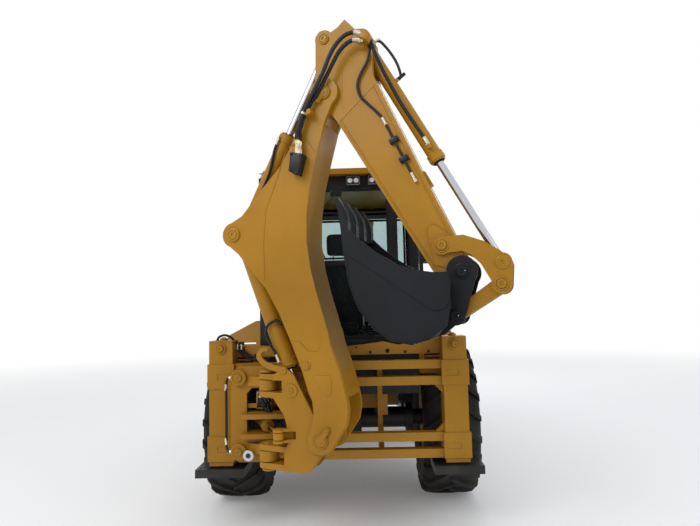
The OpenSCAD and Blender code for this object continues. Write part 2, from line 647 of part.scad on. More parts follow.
module kingpost() color("#b8862b") arm_plane() difference() {
  union() {
    slabs(86, fork_in - move_gap - 2) kingpost_side();
    for (z = [691, 571]) translate([0, 0, z]) linear_extrude(38) hinge_lug();
    // the upper lugs leave the boom ram's way open
    for (z = [1171, 1051]) translate([0, 0, z]) linear_extrude(38) difference() {
      hinge_lug();
      polygon([[128, -44], [230, -86], [230, 86], [128, 44]]);
    }
    // webs between the side plates
    box(175, 330, -88, 88, 575, 609);
    box(190, 212, -88, 88, 735, 1030);
    swing_lugs(-1, swing_z);
    swing_lugs(1, swing_z_right);
    slabs(50, 90) disc(ram_pin, 50);
    slabs(fork_in - move_gap - 3, fork_in - 1) disc(ram_pin, 46);
    slab(-108, -90) hook();
    slab(-fork_in + 1, -107) disc([166, 1238], 20);
    translate([0, 0, 560]) cylinder(r = 32, h = 660);
  }
  translate([0, 0, 740]) cylinder(r = 40, h = 300);
  pin(foot, 38 + pin_gap, -200, 200);
  // ways for the swing rods' eyes
  for (side = [-1, 1]) translate([124, side * 98 - 15, (side < 0 ? swing_z : swing_z_right) - 26.5])
    cube([124, 30, 53]);
}
// Transport hook over the upper hinge
module hook() {
  difference() {
    union() {
      polygon([[190, 1236], [163, 1215], [120, 1228], [55, 1243], [0, 1272], [-38, 1318], [-38, 1352],
        [-12, 1384], [30, 1396],
        [52, 1384], [40, 1366], [14, 1366], [-2, 1350], [-2, 1330], [30, 1298], [84, 1276], [140, 1266],
        [176, 1262]]);
      disc([166, 1238], 26);
    }
    disc([34, 1352], 16);
  }
}
module hinge_lug() {
  circle(66);
  polygon([[0, -66], [220, -fork_in + 12], [220, fork_in - 12], [0, 66]]);
}
module swing_lugs(side, z) {
  for (dz = [-45, 27]) translate([0, 0, z + dz]) linear_extrude(18) union() {
    polygon([[110, side * 104], [230, side * 104], [swing_lug[0] + 36, side * swing_lug[1]],
      [swing_lug[0] - 36, side * swing_lug[1]]]);
    translate([swing_lug[0], side * swing_lug[1]]) circle(38);
  }
}
// Swing cylinders
function swing_base(side) = [shift_x + side * trunnion_dx, trunnion_y];
function lug_at(side) = let (v = turn([swing_lug[0], side * swing_lug[1]], -arm_turn))
  [shift_x + v[0], -swing_back + v[1]];
module swing_line(side) placed()
  translate([swing_base(side)[0], swing_base(side)[1], side < 0 ? swing_z : swing_z_right])
  rotate([0, 0, ang(swing_base(side), lug_at(side))]) rotate([0, 90, 0]) children();
module swing_barrel(side) color("#b8862b") swing_line(side) difference() {
  union() {
    translate([0, 0, -295]) cylinder(r = 44, h = 400);
    translate([0, 0, 75]) cylinder(r = 48, h = 26);
    translate([0, 0, -40]) cylinder(r = 46, h = 80);
    rotate([0, 90, 0]) cylinder(r = 20, h = 160, center = true);
  }
  translate([0, 0, -284]) cylinder(r = 22 + rod_gap, h = 400);
}
module swing_rod(side) color("#c8c8c8") swing_line(side) {
  l = len2(swing_base(side), lug_at(side));
  back = side < 0 ? 460 : 444;
  translate([0, 0, l - back]) cylinder(r = 22, h = back - 20);
  translate([0, 0, l]) rotate([0, 90, 0]) cylinder(r = 34, h = 44, center = true);
}
module swing_barrel_left() swing_barrel(-1);
module swing_barrel_right() swing_barrel(1);
module swing_rod_left() swing_rod(-1);
module swing_rod_right() swing_rod(1);

// Boom
module boom_plate() {
  polygon([[360, 796], [392, 968], [384, 1049], [365, 1085], [313, 1248], [233, 1446], [152, 1629],
    [61, 1793], [-49, 1921],
    [-147, 2040], [-230, 2110], [-245, 2240], [-118, 2309], [27, 2474], [173, 2629], [250, 2748],
    [331, 2930], [405, 3110],
    [504, 3200], [590, 3090], [505, 2901], [443, 2676], [392, 2468], [367, 2284], [364, 2099], [389, 1915],
    [425, 1767],
    [478, 1588], [526, 1412], [583, 1251], [632, 1051], [638, 985], [622, 896], [508, 723], [443, 700]]);
  disc(foot, 97);
  disc(hump, 88);
  disc(tip, 100);
}
module boom_box() polygon([[270, 1330], [211, 1495], [127, 1729], [74, 1881], [41, 2055], [43, 2245],
  [95, 2433], [192, 2663],
  [250, 2748], [330, 2880], [505, 2901], [443, 2676], [392, 2468], [367, 2284], [364, 2099], [389, 1915],
  [425, 1767],
  [478, 1588], [526, 1412], [583, 1251], [631, 1074], [560, 1100], [480, 1290]]);
module boom() color("#b8862b") arm_plane() {
  slabs(fork_in, fork_out) boom_plate();
  slab(-fork_in - 1, fork_in + 1) boom_box();
  pin(foot, 38, -fork_out - 14, fork_out + 14);
  pin(tip, 36, -fork_out - 12, fork_out + 12);
  pin(hump, 30, -fork_out - 12, fork_out + 12);
  slabs(fork_out - 1, fork_out + 12) disc(foot, 46);
  slabs(fork_out - 1, fork_out + 10) disc(tip, 46);
  slabs(fork_out - 1, fork_out + 10) disc(hump, 44);
  slabs(fork_out - 1, fork_out + doubler_t) foot_doubler();
  slabs(fork_out - 1, fork_out + 16) disc([350, 1276], 20);
  // hose block on the near plate, with its unions
  slab(-fork_out - 80, -fork_out + 1) polygon([[293, 2700], [378, 2680], [338, 2546], [276, 2573]]);
  for (y = hose_rows) translate([336, y, 2680]) cylinder(r = 12, h = 110);
  slab(-fork_out - 75, -fork_out + 1) polygon([[394, 2944], [436, 2952], [436, 2984], [414, 2984]]);
}
module foot_doubler() {
  polygon([[246, 1440], [305, 1430], [363, 1369], [435, 1369], [449, 1388], [469, 1500], [483, 1512],
    [502, 1508], [520, 1412],
    [577, 1251], [626, 1051], [632, 985], [616, 896], [503, 727], [443, 706], [366, 796], [398, 968],
    [390, 1049], [371, 1085], [319, 1248]]);
  disc(foot, 91);
}
hose_rows = [-fork_out - 63, -fork_out - 32];
// The thick hoses over the boom's tip, outer one first
module boom_hoses() color("#151515") arm_plane() {
  hose([for (p = [[336, 2790.7], [337, 2842], [358, 2907], [382, 2966], [419, 3037], [460, 3107],
    [524, 3218], [573, 3324], [621, 3399],
    [684, 3452], [752, 3463], [806, 3440]]) [p[0], hose_rows[0], p[1]]], thick_hose_r, 3, [0, 1, 0]);
  hose([for (p = [[336, 2790.7], [337, 2842], [359, 2907], [384, 2966], [427, 3037], [475, 3105],
    [540, 3208], [596, 3305], [636, 3366],
    [683, 3407], [736, 3427], [790, 3416]]) [p[0], hose_rows[1], p[1]]], thick_hose_r, 3, [0, 1, 0]);
}

// Dipper
module dipper_side() {
  polygon([[439, 3529], [470, 3566], [552, 3548], [600, 3572], [653, 3621], [690, 3580], [722, 3543],
    [790, 3530], [827, 3480],
    [845, 3200], [870, 3140], [1345, 2085], [1440, 1900], [1384, 1790], [1310, 1800], [1223, 1830],
    [590, 2902], [550, 2962],
    [420, 3060], [436, 3311]]);
  disc(dip_lobe, 64);
  disc(ram_lobe, 66);
  disc(tip, 96);
  disc(bucket_pin, 74);
  disc(lever_pin, 62);
}
module dipper() color("#b8862b") arm_plane() {
  difference() {
    slab(-dipper_half, dipper_half) dipper_side();
    // the side plates lie inside the edges of the long plates
    slabs(dipper_half - 3, dipper_half + 1) polygon([[604, 2910], [855, 3133], [1330, 2078], [1237, 1838]]);
    // slots for the ram eyes, open where the rams swing
    slab(-42, 42) polygon([[300, 3640], [300, 3060], [400, 3190], [460, 3290], [500, 3362], [575, 3362],
      [580, 3470],
      [620, 3500], [624, 3640]]);
    slab(-60, 60) translate(ram_lobe) rotate(ang(ram_lobe, lever_rod))
      polygon([[-62, -62], [900, -62], [900, 300], [-62, 300]]);
    pin(tip, 36 + pin_gap, -200, 200);
  }
  pin(ram_lobe, 28, -dipper_half - 5, dipper_half + 5);
  pin(lever_pin, 32, -150, 150);
  pin(bucket_pin, 34, -150, 150);
  slabs(dipper_half - 1, dipper_half + 5) disc(dip_lobe, 34);
  slabs(dipper_half - 4, dipper_half + doubler_t) polygon([[1218, 1905], [1180, 2070], [1175, 2128],
    [1184, 2158], [1218, 2168],
    [1335, 2082], [1395, 1960], [1384, 1900], [1300, 1880]]);
  // hose seat at the head, pipe clamps down the near side and the stop on the back
  slab(-head_seat, -dipper_half + 1) polygon([[786, 3420], [836, 3408], [846, 3462], [798, 3470]]);
  for (p = pipe_clamps) difference() {
    slab(-pipe_y - 12, -dipper_half + 4) translate(p) rotate(ang(pipe_top, pipe_end))
      square([34, 62], center = true);
    pipe_hole();
  }
  slab(-30, 30) polygon([[1132, 2538], [1160, 2530], [1207, 2442], [1180, 2425], [1150, 2440]]);
}
head_seat = dipper_half + 11;
pipe_y = dipper_half + 17;
pipe_top = [930, 2838];
pipe_end = [1109, 2454];
pipe_clamps = [[978, 2734], [1040, 2603]];
module pipe_rod(r, y) translate([pipe_top[0], y, pipe_top[1]]) rotate([0, 90 - ang(pipe_top, pipe_end), 0])
  cylinder(r = r, h = len2(pipe_top, pipe_end));
module pipe_hole() pipe_rod(9 + seat_gap, -pipe_y);
module dipper_hoses() color("#151515") arm_plane() {
  hose([for (p = [[813, 3444, 130], [833, 3378, 128], [812, 3292, 127], [764, 3210, 126], [740, 3139, 126],
    [757, 3061, 126],
    [806, 3002, 126], [862, 2943, 126], [900, 2896, 126], [pipe_top[0] - 1, pipe_top[1] + 2, pipe_y]])
    [p[0], -p[2], p[1]]], thin_hose_r, 3, [0, 1, 0]);
  pipe_rod(9, -pipe_y);
}

// Digging bucket
module digger_side() polygon([[655, 2175], [690, 2160], [770, 2080], [880, 1990], [1010, 1910],
  [1140, 1866], [1240, 1850],
  [1320, 1850], [1330, 1650], [1300, 1530], [1200, 1450], [1080, 1420], [960, 1440], [850, 1520],
  [760, 1640], [700, 1800], [670, 1990]]);
module digger_shell() polygon([[655, 2175], [690, 2160], [770, 2080], [880, 1990], [1010, 1910],
  [1140, 1700], [1268, 1745],
  [1268, 1690], [1255, 1600], [1225, 1520], [1170, 1450], [1080, 1420], [960, 1440], [850, 1520],
  [760, 1640], [700, 1800], [670, 1990]]);
module digger_hollow() polygon([[600, 2230], [690, 2185], [770, 2110], [880, 2100], [1010, 2000],
  [1248, 2000],
  [1248, 1692], [1236, 1610], [1208, 1532], [1160, 1470], [1080, 1443], [966, 1463], [868, 1537],
  [784, 1649], [724, 1800], [692, 1990], [668, 2120]]);
module digger_ear() {
  polygon([[1240, 1540], [1330, 1528], [1395, 1575], [1430, 1700], [1475, 1850], [1384, 1950],
    [1295, 1861], [1255, 1790], [1252, 1600]]);
  disc(bucket_pin, 96);
  disc(ear_pin, 62);
}
cutter_t = 8;
module side_cutter() {
  polygon([[655, 2175], [690, 2160], [770, 2080], [880, 1990], [1010, 1910], [1140, 1866], [1240, 1850],
    [1320, 1850], [1334, 1785],
    [1326, 1680], [1300, 1640], [1262, 1622], [1227, 1623], [964, 1806], [695, 1984], [672, 2020]]);
}
module digging_bucket() color("#222222") arm_plane() difference() {
  union() {
    difference() {
      union() {
        slab(-digger_w / 2 + cutter_t, digger_w / 2 - cutter_t) digger_shell();
        slabs(digger_w / 2 - cutter_t - 16, digger_w / 2 - cutter_t) digger_side();
      }
      slab(-digger_w / 2 + cutter_t + 16, digger_w / 2 - cutter_t - 16) digger_hollow();
    }
    // side cutters, welded on outside along the upper half
    slabs(digger_w / 2 - cutter_t - 1, digger_w / 2) side_cutter();
    slabs(fork_in, fork_in + 24) digger_ear();
    slabs(96, fork_in + 34) disc(ear_pin, 30);
    for (i = [0:digger_teeth - 1]) {
      y = -digger_w / 2 + 32 + i * (digger_w - 64) / (digger_teeth - 1);
      slab(y - 32, y + 32) polygon([[642, 2260], [668, 2268], [706, 2190], [704, 2110], [664, 2110],
        [655, 2180]]);
      slab(y - 24, y + 24) polygon([[622, 2340], [632, 2348], [690, 2232], [672, 2215], [650, 2222]]);
    }
  }
  pin(bucket_pin, 34 + pin_gap, -200, 200);
}
module bucket_lever() color("#b8862b") arm_plane() difference() {
  slabs(fork_in, fork_in + 22) union() {
    polygon([[1250, 2080], [1400, 2085], [1520, 2040], [1620, 1975], [1690, 1905], [1680, 1770],
      [1618, 1712], [1560, 1790], [1500, 1900],
      [1440, 1960], [1390, 1985], [1250, 1972]]);
    disc(lever_pin, 60);
    disc(lever_end, 62);
    disc(lever_rod, 58);
  }
  pin(lever_pin, 32 + pin_gap, -200, 200);
  pin(lever_end, 30 + pin_gap, -200, 200);
}

module bucket_link() color("#b8862b") arm_plane() {
  slabs(46, 90) bar(lever_end, ear_pin, 50, 40);
  slab(-50, 50) along2(lever_end, ear_pin) polygon([[173, -26], [330, -26], [330, 26], [173, 26]]);
  slabs(44, fork_in + 30) disc(lever_end, 30);
}
module along2(p, q) translate(p) rotate(ang(p, q)) children();

// Digging arm rams
module boom_barrel() color("#b8862b") arm_plane() along(hump, ram_pin) barrel(64, 996, 33, 62, 36, 30);
module boom_rod() color("#c8c8c8") arm_plane() along(hump, ram_pin)
  rod(33, len2(hump, ram_pin), 860, 50, 38);
module dipper_barrel() color("#b8862b") arm_plane() along(hump, dip_lobe) difference() {
  union() {
    translate([0, 0, 100]) cylinder(r = 57, h = 700);
    translate([0, 0, 740]) cylinder(r = 63, h = 48);
    slabs(46, 74) bar([0, 0], [0, 110], 56, 40);
    box(-40, 40, -74, 74, 96, 130);
  }
  pin([0, 0], 30 + pin_gap, -100, 100);
  translate([0, 0, 140]) cylinder(r = 29 + rod_gap, h = 800);
}
module dipper_rod() color("#c8c8c8") arm_plane() along(hump, dip_lobe)
  rod(29, len2(hump, dip_lobe), 745, 44, 36);
module bucket_barrel() color("#b8862b") arm_plane() along(ram_lobe, lever_rod) {
  barrel(48, 1000, 26, 50, 36, 28);
  translate([0, 0, 900]) rotate([90, 0, 0]) translate([0, 0, 40]) cylinder(r = 14, h = 44);
  translate([-62, 0, 355]) rotate([0, 90, 0]) cylinder(r = 14, h = 22);
}
module bucket_ram_hoses() color("#151515") arm_plane() {
  hose([for (p = [[839, 3424, 150], [879, 3312, 145], [920, 3208, 122], [968, 3104, 98], [1010, 3016, 84],
    [1080, 2890, 76],
    [1150, 2772, 72], [1193.1, 2694.5, 70]]) [p[0], -p[2], p[1]]], 13, 4, [0, 1, 0]);
  hose([for (p = [[816, 3474.7], [837, 3480], [862, 3481], [886, 3464], [936, 3396], [979, 3320],
    [1004, 3249], [1009, 3207], [992, 3189.7]]) [p[0], 0, p[1]]], thin_hose_r, 3, [0, 1, 0]);
}
module boom_ram_hose() color("#151515") arm_plane()
  hose([for (p = [[146, 1551, 84], [98, 1573, 86], [42, 1545, 86], [23, 1486, 82], [50, 1420, 79],
    [86, 1361, 77],
    [106, 1316, 74.2], [117, 1288, 73.4]]) [p[0], -p[2], p[1]]],
    thin_hose_r, 3, [0, 1, 0]);
module dipper_ram_hose() color("#151515") arm_plane()
  hose([for (p = [[138, 2869, 66], [121, 2832, 67.5], [98, 2771, 70], [81, 2695, 72], [60, 2618, 72],
    [24, 2540, 72],
    [-14, 2460, 74], [-40, 2398, 76]]) [p[0], -p[2], p[1]]],
    thin_hose_r, 3, [0, 1, 0]);
module bucket_rod() color("#c8c8c8") arm_plane() along(ram_lobe, lever_rod)
  rod(26, len2(ram_lobe, lever_rod), 900, 44, 36);

// Loader
module loader_arm_shape() {
  polygon([[2120, 1595], [2700, 1490], [3200, 1365], [3480, 1300], [3640, 1286], [3689, 1266], [4213, 737],
    [4400, 600], [4430, 540],
    [4350, 432], [4250, 480], [4167, 550], [3572, 1153], [3250, 1215], [2120, 1405]]);
  disc(arm_pivot, 95);
  disc(arm_end, 84);
  disc(crank_pin, 54);
  polygon([[2320, 1540], [2350, 1730], [2440, 1730], [2470, 1500]]);
  disc(tilt_base, 54);
}
module loader_arms() color("#b8862b") {
  both_sides() side_plane(arm_x) difference() {
    union() {
      slab(-arm_w / 2, arm_w / 2) loader_arm_shape();
      slabs(arm_w / 2 - 10, arm_w / 2 + 10) disc(arm_pivot, 80);
      slabs(30, 50) {
        polygon([[3220, 1250], [3450, 1210], [3388, 1066], [3272, 1066]]);
        disc(lift_eye, 60);
      }
      slabs(arm_w / 2 - 10, 66) disc(lift_eye, 30);
    }
    pin(arm_pivot, 34 + pin_gap, -60, 60);
    slab(-24, 24) polygon([[2330, 1640], [2600, 1570], [2700, 1800], [2300, 1800]]);
  }
  both_sides() side_plane(arm_x) {
    pin(crank_pin, 26, -70, 70);
    pin(tilt_base, 24, -arm_w / 2 - 6, arm_w / 2 + 6);
    pin(arm_end, 32, -arm_w / 2 - 30, arm_w / 2 + 30);
  }
  placed() translate([0, 4092, 742]) rotate([0, 90, 0]) cylinder(r = 56, h = 2 * arm_x - arm_w + 4,
    center = true);
}
module lift_barrels() color("#b8862b") both_sides() side_plane(arm_x) along(lift_base, lift_eye)
  barrel(46, 960, 27, 46, 36, 30);
module lift_rods() color("#c8c8c8") both_sides() side_plane(arm_x) along(lift_base, lift_eye)
  rod(27, len2(lift_base, lift_eye), 890, 44, 23);
module tilt_levers() color("#b8862b") both_sides() side_plane(arm_x) difference() {
  slabs(46, 62) {
    bar(crank_pin, crank_link, 50, 42);
    bar(crank_pin, crank_rod, 50, 42);
    polygon([crank_pin, crank_link, crank_rod]);
  }
  pin(crank_pin, 26 + pin_gap, -80, 80);
  pin(crank_link, 22 + pin_gap, -80, 80);
}
module tilt_barrels() color("#b8862b") both_sides() side_plane(arm_x) along(tilt_base, crank_rod)
  difference() {
  union() {
    translate([0, 0, 125]) cylinder(r = 42, h = 740);
    slab(-20, 20) bar([0, 0], [0, 140], 40, 34);
  }
  pin([0, 0], 24 + pin_gap, -60, 60);
  translate([0, 0, 165]) cylinder(r = 23 + rod_gap, h = 800);
}
module tilt_rods() color("#c8c8c8") both_sides() side_plane(arm_x) along(tilt_base, crank_rod)
  rod(23, len2(tilt_base, crank_rod), 860, 38, 26);
module tilt_links() color("#b8862b") both_sides() side_plane(arm_x) {
  slab(-26, 26) difference() {
    bar(crank_link, link_pin, 34, 32);
    disc(link_pin, 22 + pin_gap);
  }
  pin(crank_link, 22, -70, 70);
}
module loader_side() polygon([lb(162, -130), lb(972, -160), lb(977, -140), lb(512, 560), lb(222, 640),
  lb(162, 560), lb(124, 300), lb(124, 0)]);
module loader_hollow() polygon([lb(184, -108), lb(1100, -146), lb(1100, 200), lb(700, 640), lb(432, 640),
  lb(432, 562), lb(232, 618),
  lb(182, 550), lb(146, 300), lb(146, 0)]);
module loader_ear() {
  translate(arm_end) circle(70);
  translate(link_pin) circle(54);
  polygon([lb(162, -112), lb(0, -70), lb(-70, 0), lb(24, 326), lb(80, 374), lb(150, 470), lb(140, 300),
    lb(140, 0)]);
}
module loader_bucket() color("#222222") placed() {
  difference() {
    union() {
      difference() {
        across(-loader_w / 2, loader_w / 2) loader_side();
        across(-loader_w / 2 + 20, loader_w / 2 - 20) loader_hollow();
      }
      both_sides() for (x = [arm_x - 62, arm_x + 46]) across(x, x + 16) loader_ear();
      for (i = [0:5]) translate([(i - 2.5) * (loader_w - 100) / 5, 0, 0])
        across(-48, 48) polygon([lb(840, -190), lb(990, -178), lb(lip[0], lip[1]), lb(990, -128),
          lb(840, -112)]);
    }
    both_sides() translate([arm_x, arm_end[0], arm_end[1]]) rotate([0, 90, 0])
      cylinder(r = 32 + pin_gap, h = 160, center = true);
  }
  both_sides() translate([arm_x, link_pin[0], link_pin[1]]) rotate([0, 90, 0])
    cylinder(r = 22, h = 136, center = true);
}

chassis();
engine_block();
cowl();
nose();
hood();
cab_frame();
cab_roof();
cab_glass();
door_left();
door_right();
seat();
controls();
fenders();
side_tanks();
rear_axle();
front_axle();
knuckle_left();
knuckle_right();
wheel_rear_left();
wheel_rear_right();
wheel_front_left();
wheel_front_right();
loader_arms();
lift_barrels();
lift_rods();
tilt_levers();
tilt_barrels();
tilt_rods();
tilt_links();
loader_bucket();
rear_frame();
stabiliser_left();
stabiliser_right();
carriage();
kingpost();
swing_barrel_left();
swing_rod_left();
swing_barrel_right();
swing_rod_right();
boom();
dipper();
digging_bucket();
bucket_lever();
bucket_link();
boom_barrel();
boom_rod();
dipper_barrel();
dipper_rod();
bucket_barrel();
bucket_rod();
boom_hoses();
dipper_hoses();
bucket_ram_hoses();
boom_ram_hose();
dipper_ram_hose();
carriage_hose();
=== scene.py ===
# Looks of a backhoe loader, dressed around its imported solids.
import math

import bmesh
import bpy
from mathutils import Matrix, Vector


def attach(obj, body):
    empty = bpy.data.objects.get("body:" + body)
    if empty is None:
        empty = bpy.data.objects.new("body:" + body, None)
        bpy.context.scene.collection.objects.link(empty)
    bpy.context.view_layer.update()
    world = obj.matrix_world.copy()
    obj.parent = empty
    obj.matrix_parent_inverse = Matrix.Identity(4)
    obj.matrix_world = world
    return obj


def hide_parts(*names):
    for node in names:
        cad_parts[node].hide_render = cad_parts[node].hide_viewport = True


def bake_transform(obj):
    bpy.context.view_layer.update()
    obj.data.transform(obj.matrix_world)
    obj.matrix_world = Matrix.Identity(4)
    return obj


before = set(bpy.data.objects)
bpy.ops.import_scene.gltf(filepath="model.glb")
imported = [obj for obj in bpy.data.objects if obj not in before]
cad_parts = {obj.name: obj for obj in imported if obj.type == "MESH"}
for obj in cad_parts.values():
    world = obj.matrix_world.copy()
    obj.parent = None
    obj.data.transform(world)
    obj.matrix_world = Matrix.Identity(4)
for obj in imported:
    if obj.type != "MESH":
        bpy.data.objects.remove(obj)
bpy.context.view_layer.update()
print("frame loaded:", len(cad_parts), "nodes")

# Places shared with the solids: lengths run from the rear frame's face, then move back by middleY
middleY = 2.143711
armTurn = math.radians(16)
swingX, swingY = -0.470, -0.280


def place(x, y, z):
    return Vector((x, y - middleY, z))


def armPoint(s, side, z):
    # s runs out from the swing axis, side is square to the arm, + towards the cab
    turnSin, turnCos = math.sin(armTurn), math.cos(armTurn)
    return place(swingX + s * turnCos + side * turnSin, swingY - s * turnSin + side * turnCos, z)


# Camera at the photograph's place
camera = {"x": 0.225, "back": 4.297, "z": 1.639, "yaw": 1.49, "pitch": 4.70, "roll": -1.33, "lens": 29.16}


def addCamera():
    data = bpy.data.cameras.new("camera")
    data.lens = camera["lens"]
    data.sensor_width = 36
    data.clip_end = 200
    eye = bpy.data.objects.new("camera", data)
    bpy.context.scene.collection.objects.link(eye)
    yaw = Matrix.Rotation(math.radians(camera["yaw"]), 4, "Z")
    pitch = Matrix.Rotation(math.radians(90 + camera["pitch"]), 4, "X")
    roll = Matrix.Rotation(math.radians(camera["roll"]), 4, "Z")
    spot = place(camera["x"], -camera["back"], camera["z"])
    eye.matrix_world = Matrix.Translation(spot) @ (yaw @ pitch @ roll)
    bpy.context.scene.camera = eye


addCamera()
print("camera set")

# Finishes
scene = bpy.context.scene
scene.view_settings.view_transform = "Standard"


def newMaterial(name):
    mat = bpy.data.materials.new(name)
    mat.use_nodes = True
    tree = mat.node_tree
    tree.nodes.clear()
    out = tree.nodes.new("ShaderNodeOutputMaterial")
    shader = tree.nodes.new("ShaderNodeBsdfPrincipled")
    tree.links.new(shader.outputs[0], out.inputs[0])
    return mat, tree, shader


def noiseOn(tree, scale, detail=4.0, stretch=(1, 1, 1)):
    coord = tree.nodes.new("ShaderNodeTexCoord")
    mapping = tree.nodes.new("ShaderNodeMapping")
    mapping.inputs["Scale"].default_value = stretch
    tex = tree.nodes.new("ShaderNodeTexNoise")
    tex.inputs["Scale"].default_value = scale
    tex.inputs["Detail"].default_value = detail
    tex.inputs["Roughness"].default_value = 0.55
    tree.links.new(coord.outputs["Object"], mapping.inputs["Vector"])
    tree.links.new(mapping.outputs["Vector"], tex.inputs["Vector"])
    return tex.outputs["Fac"]


def ramp(tree, value, stops):
    node = tree.nodes.new("ShaderNodeValToRGB")
    while len(node.color_ramp.elements) < len(stops):
        node.color_ramp.elements.new(0.5)
    for element, (at, color) in zip(node.color_ramp.elements, stops):
        element.position = at
        element.color = (*color, 1) if len(color) == 3 else color
    tree.links.new(value, node.inputs["Fac"])
    return node.outputs["Color"]


def spread(tree, value, low, high, outLow, outHigh):
    node = tree.nodes.new("ShaderNodeMapRange")
    for socket, number in zip(("From Min", "From Max", "To Min", "To Max"), (low, high, outLow, outHigh)):
        node.inputs[socket].default_value = number
    tree.links.new(value, node.inputs["Value"])
    return node.outputs["Result"]


def mixColors(tree, factor, a, b):
    node = tree.nodes.new("ShaderNodeMix")
    node.data_type = "RGBA"
    tree.links.new(factor, node.inputs["Factor"])
    for socket, color in ((node.inputs[6], a), (node.inputs[7], b)):
        if isinstance(color, tuple):
            socket.default_value = (*color, 1)
        else:
            tree.links.new(color, socket)
    return node.outputs[2]


def heightDust(tree, color, dust, low, high, amount):
    # dust gathers on the parts near the ground
    coord = tree.nodes.new("ShaderNodeTexCoord")
    split = tree.nodes.new("ShaderNodeSeparateXYZ")
    tree.links.new(coord.outputs["Object"], split.inputs[0])
    fall = spread(tree, split.outputs["Z"], low, high, amount, 0.0)
    mottle = spread(tree, noiseOn(tree, 5.0, 6.0), 0.38, 0.62, 0.15, 1.0)
    times = tree.nodes.new("ShaderNodeMath")
    times.operation = "MULTIPLY"
    tree.links.new(fall, times.inputs[0])
    tree.links.new(mottle, times.inputs[1])
    return mixColors(tree, times.outputs[0], color, dust)


def bumpOn(tree, shader, height, strength, distance, edge=0.0):
    bump = tree.nodes.new("ShaderNodeBump")
    bump.inputs["Strength"].default_value = strength
    bump.inputs["Distance"].default_value = distance
    tree.links.new(height, bump.inputs["Height"])
    if edge:
        soft = tree.nodes.new("ShaderNodeBevel")   # rounds the solids' sharp edges as the light sees them
        soft.samples = 4
        soft.inputs["Radius"].default_value = edge
        tree.links.new(soft.outputs["Normal"], bump.inputs["Normal"])
    tree.links.new(bump.outputs["Normal"], shader.inputs["Normal"])


finishes = {
    "yellowPaint": {"tones": ((0.325, 0.152, 0.0055), (0.395, 0.188, 0.0085)), "scale": 1.6,
                    "rough": (0.36, 0.48), "coat": 0.10, "shine": 0.22, "dust": (0.8, 0.10), "edge": 0.003},
    "yellowRim": {"tones": ((0.31, 0.150, 0.010), (0.38, 0.185, 0.014)), "scale": 4, "rough": (0.4, 0.55),
                  "coat": 0.05, "shine": 0.25, "dust": (1.2, 0.3), "edge": 0.002},
    "blackPaint": {"tones": ((0.006, 0.0065, 0.007), (0.012, 0.013, 0.015)), "scale": 3, "rough": (0.34, 0.5),
                   "coat": 0.06, "shine": 0.25, "dust": (0.7, 0.18), "edge": 0.003},
    "bucketBlack": {"tones": ((0.0055, 0.0068, 0.0085), (0.011, 0.013, 0.016)), "scale": 2.4,
                    "rough": (0.38, 0.56), "coat": 0.03, "shine": 0.16, "dust": (0.5, 0.06), "edge": 0.003},
    "castIron": {"tones": ((0.035, 0.035, 0.036), (0.07, 0.068, 0.065)), "scale": 12, "rough": (0.6, 0.8),
                 "coat": 0, "shine": 0.3, "dust": (0.9, 0.3), "edge": 0.004},
    "plastic": {"tones": ((0.008, 0.008, 0.009), (0.015, 0.015, 0.017)), "scale": 20, "rough": (0.42, 0.58),
                "coat": 0, "shine": 0.3, "dust": (0.4, 0.05), "edge": 0.002},
}
dustColor = (0.30, 0.25, 0.19)


def paintFinish(name):
    f = finishes[name]
    mat, tree, shader = newMaterial(name)
    cloud = noiseOn(tree, f["scale"], 5.0)
    color = ramp(tree, cloud, ((0.32, f["tones"][0]), (0.68, f["tones"][1])))
    streak = spread(tree, noiseOn(tree, 9.0, 6.0, (1, 1, 0.12)), 0.52, 0.72, 0.0, 0.10)
    color = mixColors(tree, streak, color, tuple(0.55 * c for c in f["tones"][0]))
    color = heightDust(tree, color, dustColor, 0.1, f["dust"][0], f["dust"][1])
    tree.links.new(color, shader.inputs["Base Color"])
    tree.links.new(spread(tree, noiseOn(tree, 14.0, 6.0), 0.3, 0.7, *f["rough"]), shader.inputs["Roughness"])
    shader.inputs["Coat Weight"].default_value = f["coat"]
    shader.inputs["Coat Roughness"].default_value = 0.16
    shader.inputs["Specular IOR Level"].default_value = f["shine"]
    bumpOn(tree, shader, noiseOn(tree, 260.0, 3.0), 0.10, 0.0006, f["edge"])
    return mat


def metalFinish(name, tone, rough, scratch, grime):
    mat, tree, shader = newMaterial(name)
    lines = noiseOn(tree, 90.0, 4.0, (1, 1, 0.08))
    color = mixColors(tree, spread(tree, noiseOn(tree, 18.0, 5.0), 0.5, 0.75, 0.0, grime), tone,
                      (0.06, 0.045, 0.03))
    tree.links.new(color, shader.inputs["Base Color"])
    tree.links.new(spread(tree, lines, 0.3, 0.7, rough, rough + scratch), shader.inputs["Roughness"])
    shader.inputs["Metallic"].default_value = 1.0
    bumpOn(tree, shader, lines, 0.05, 0.0004, 0.0015)
    return mat


def rubberFinish(name, dusty):
    mat, tree, shader = newMaterial(name)
    color = ramp(tree, noiseOn(tree, 7.0, 6.0), ((0.35, (0.006, 0.006, 0.0065)),
                                                 (0.7, (0.015, 0.0148, 0.0145))))
    color = heightDust(tree, color, (0.16, 0.145, 0.12), 0.0, 1.3, dusty)
    tree.links.new(color, shader.inputs["Base Color"])
    tree.links.new(spread(tree, noiseOn(tree, 40.0, 4.0), 0.3, 0.7, 0.62, 0.85), shader.inputs["Roughness"])
    shader.inputs["Specular IOR Level"].default_value = 0.22
    bumpOn(tree, shader, noiseOn(tree, 150.0, 5.0), 0.25, 0.0012, 0.004)
    return mat


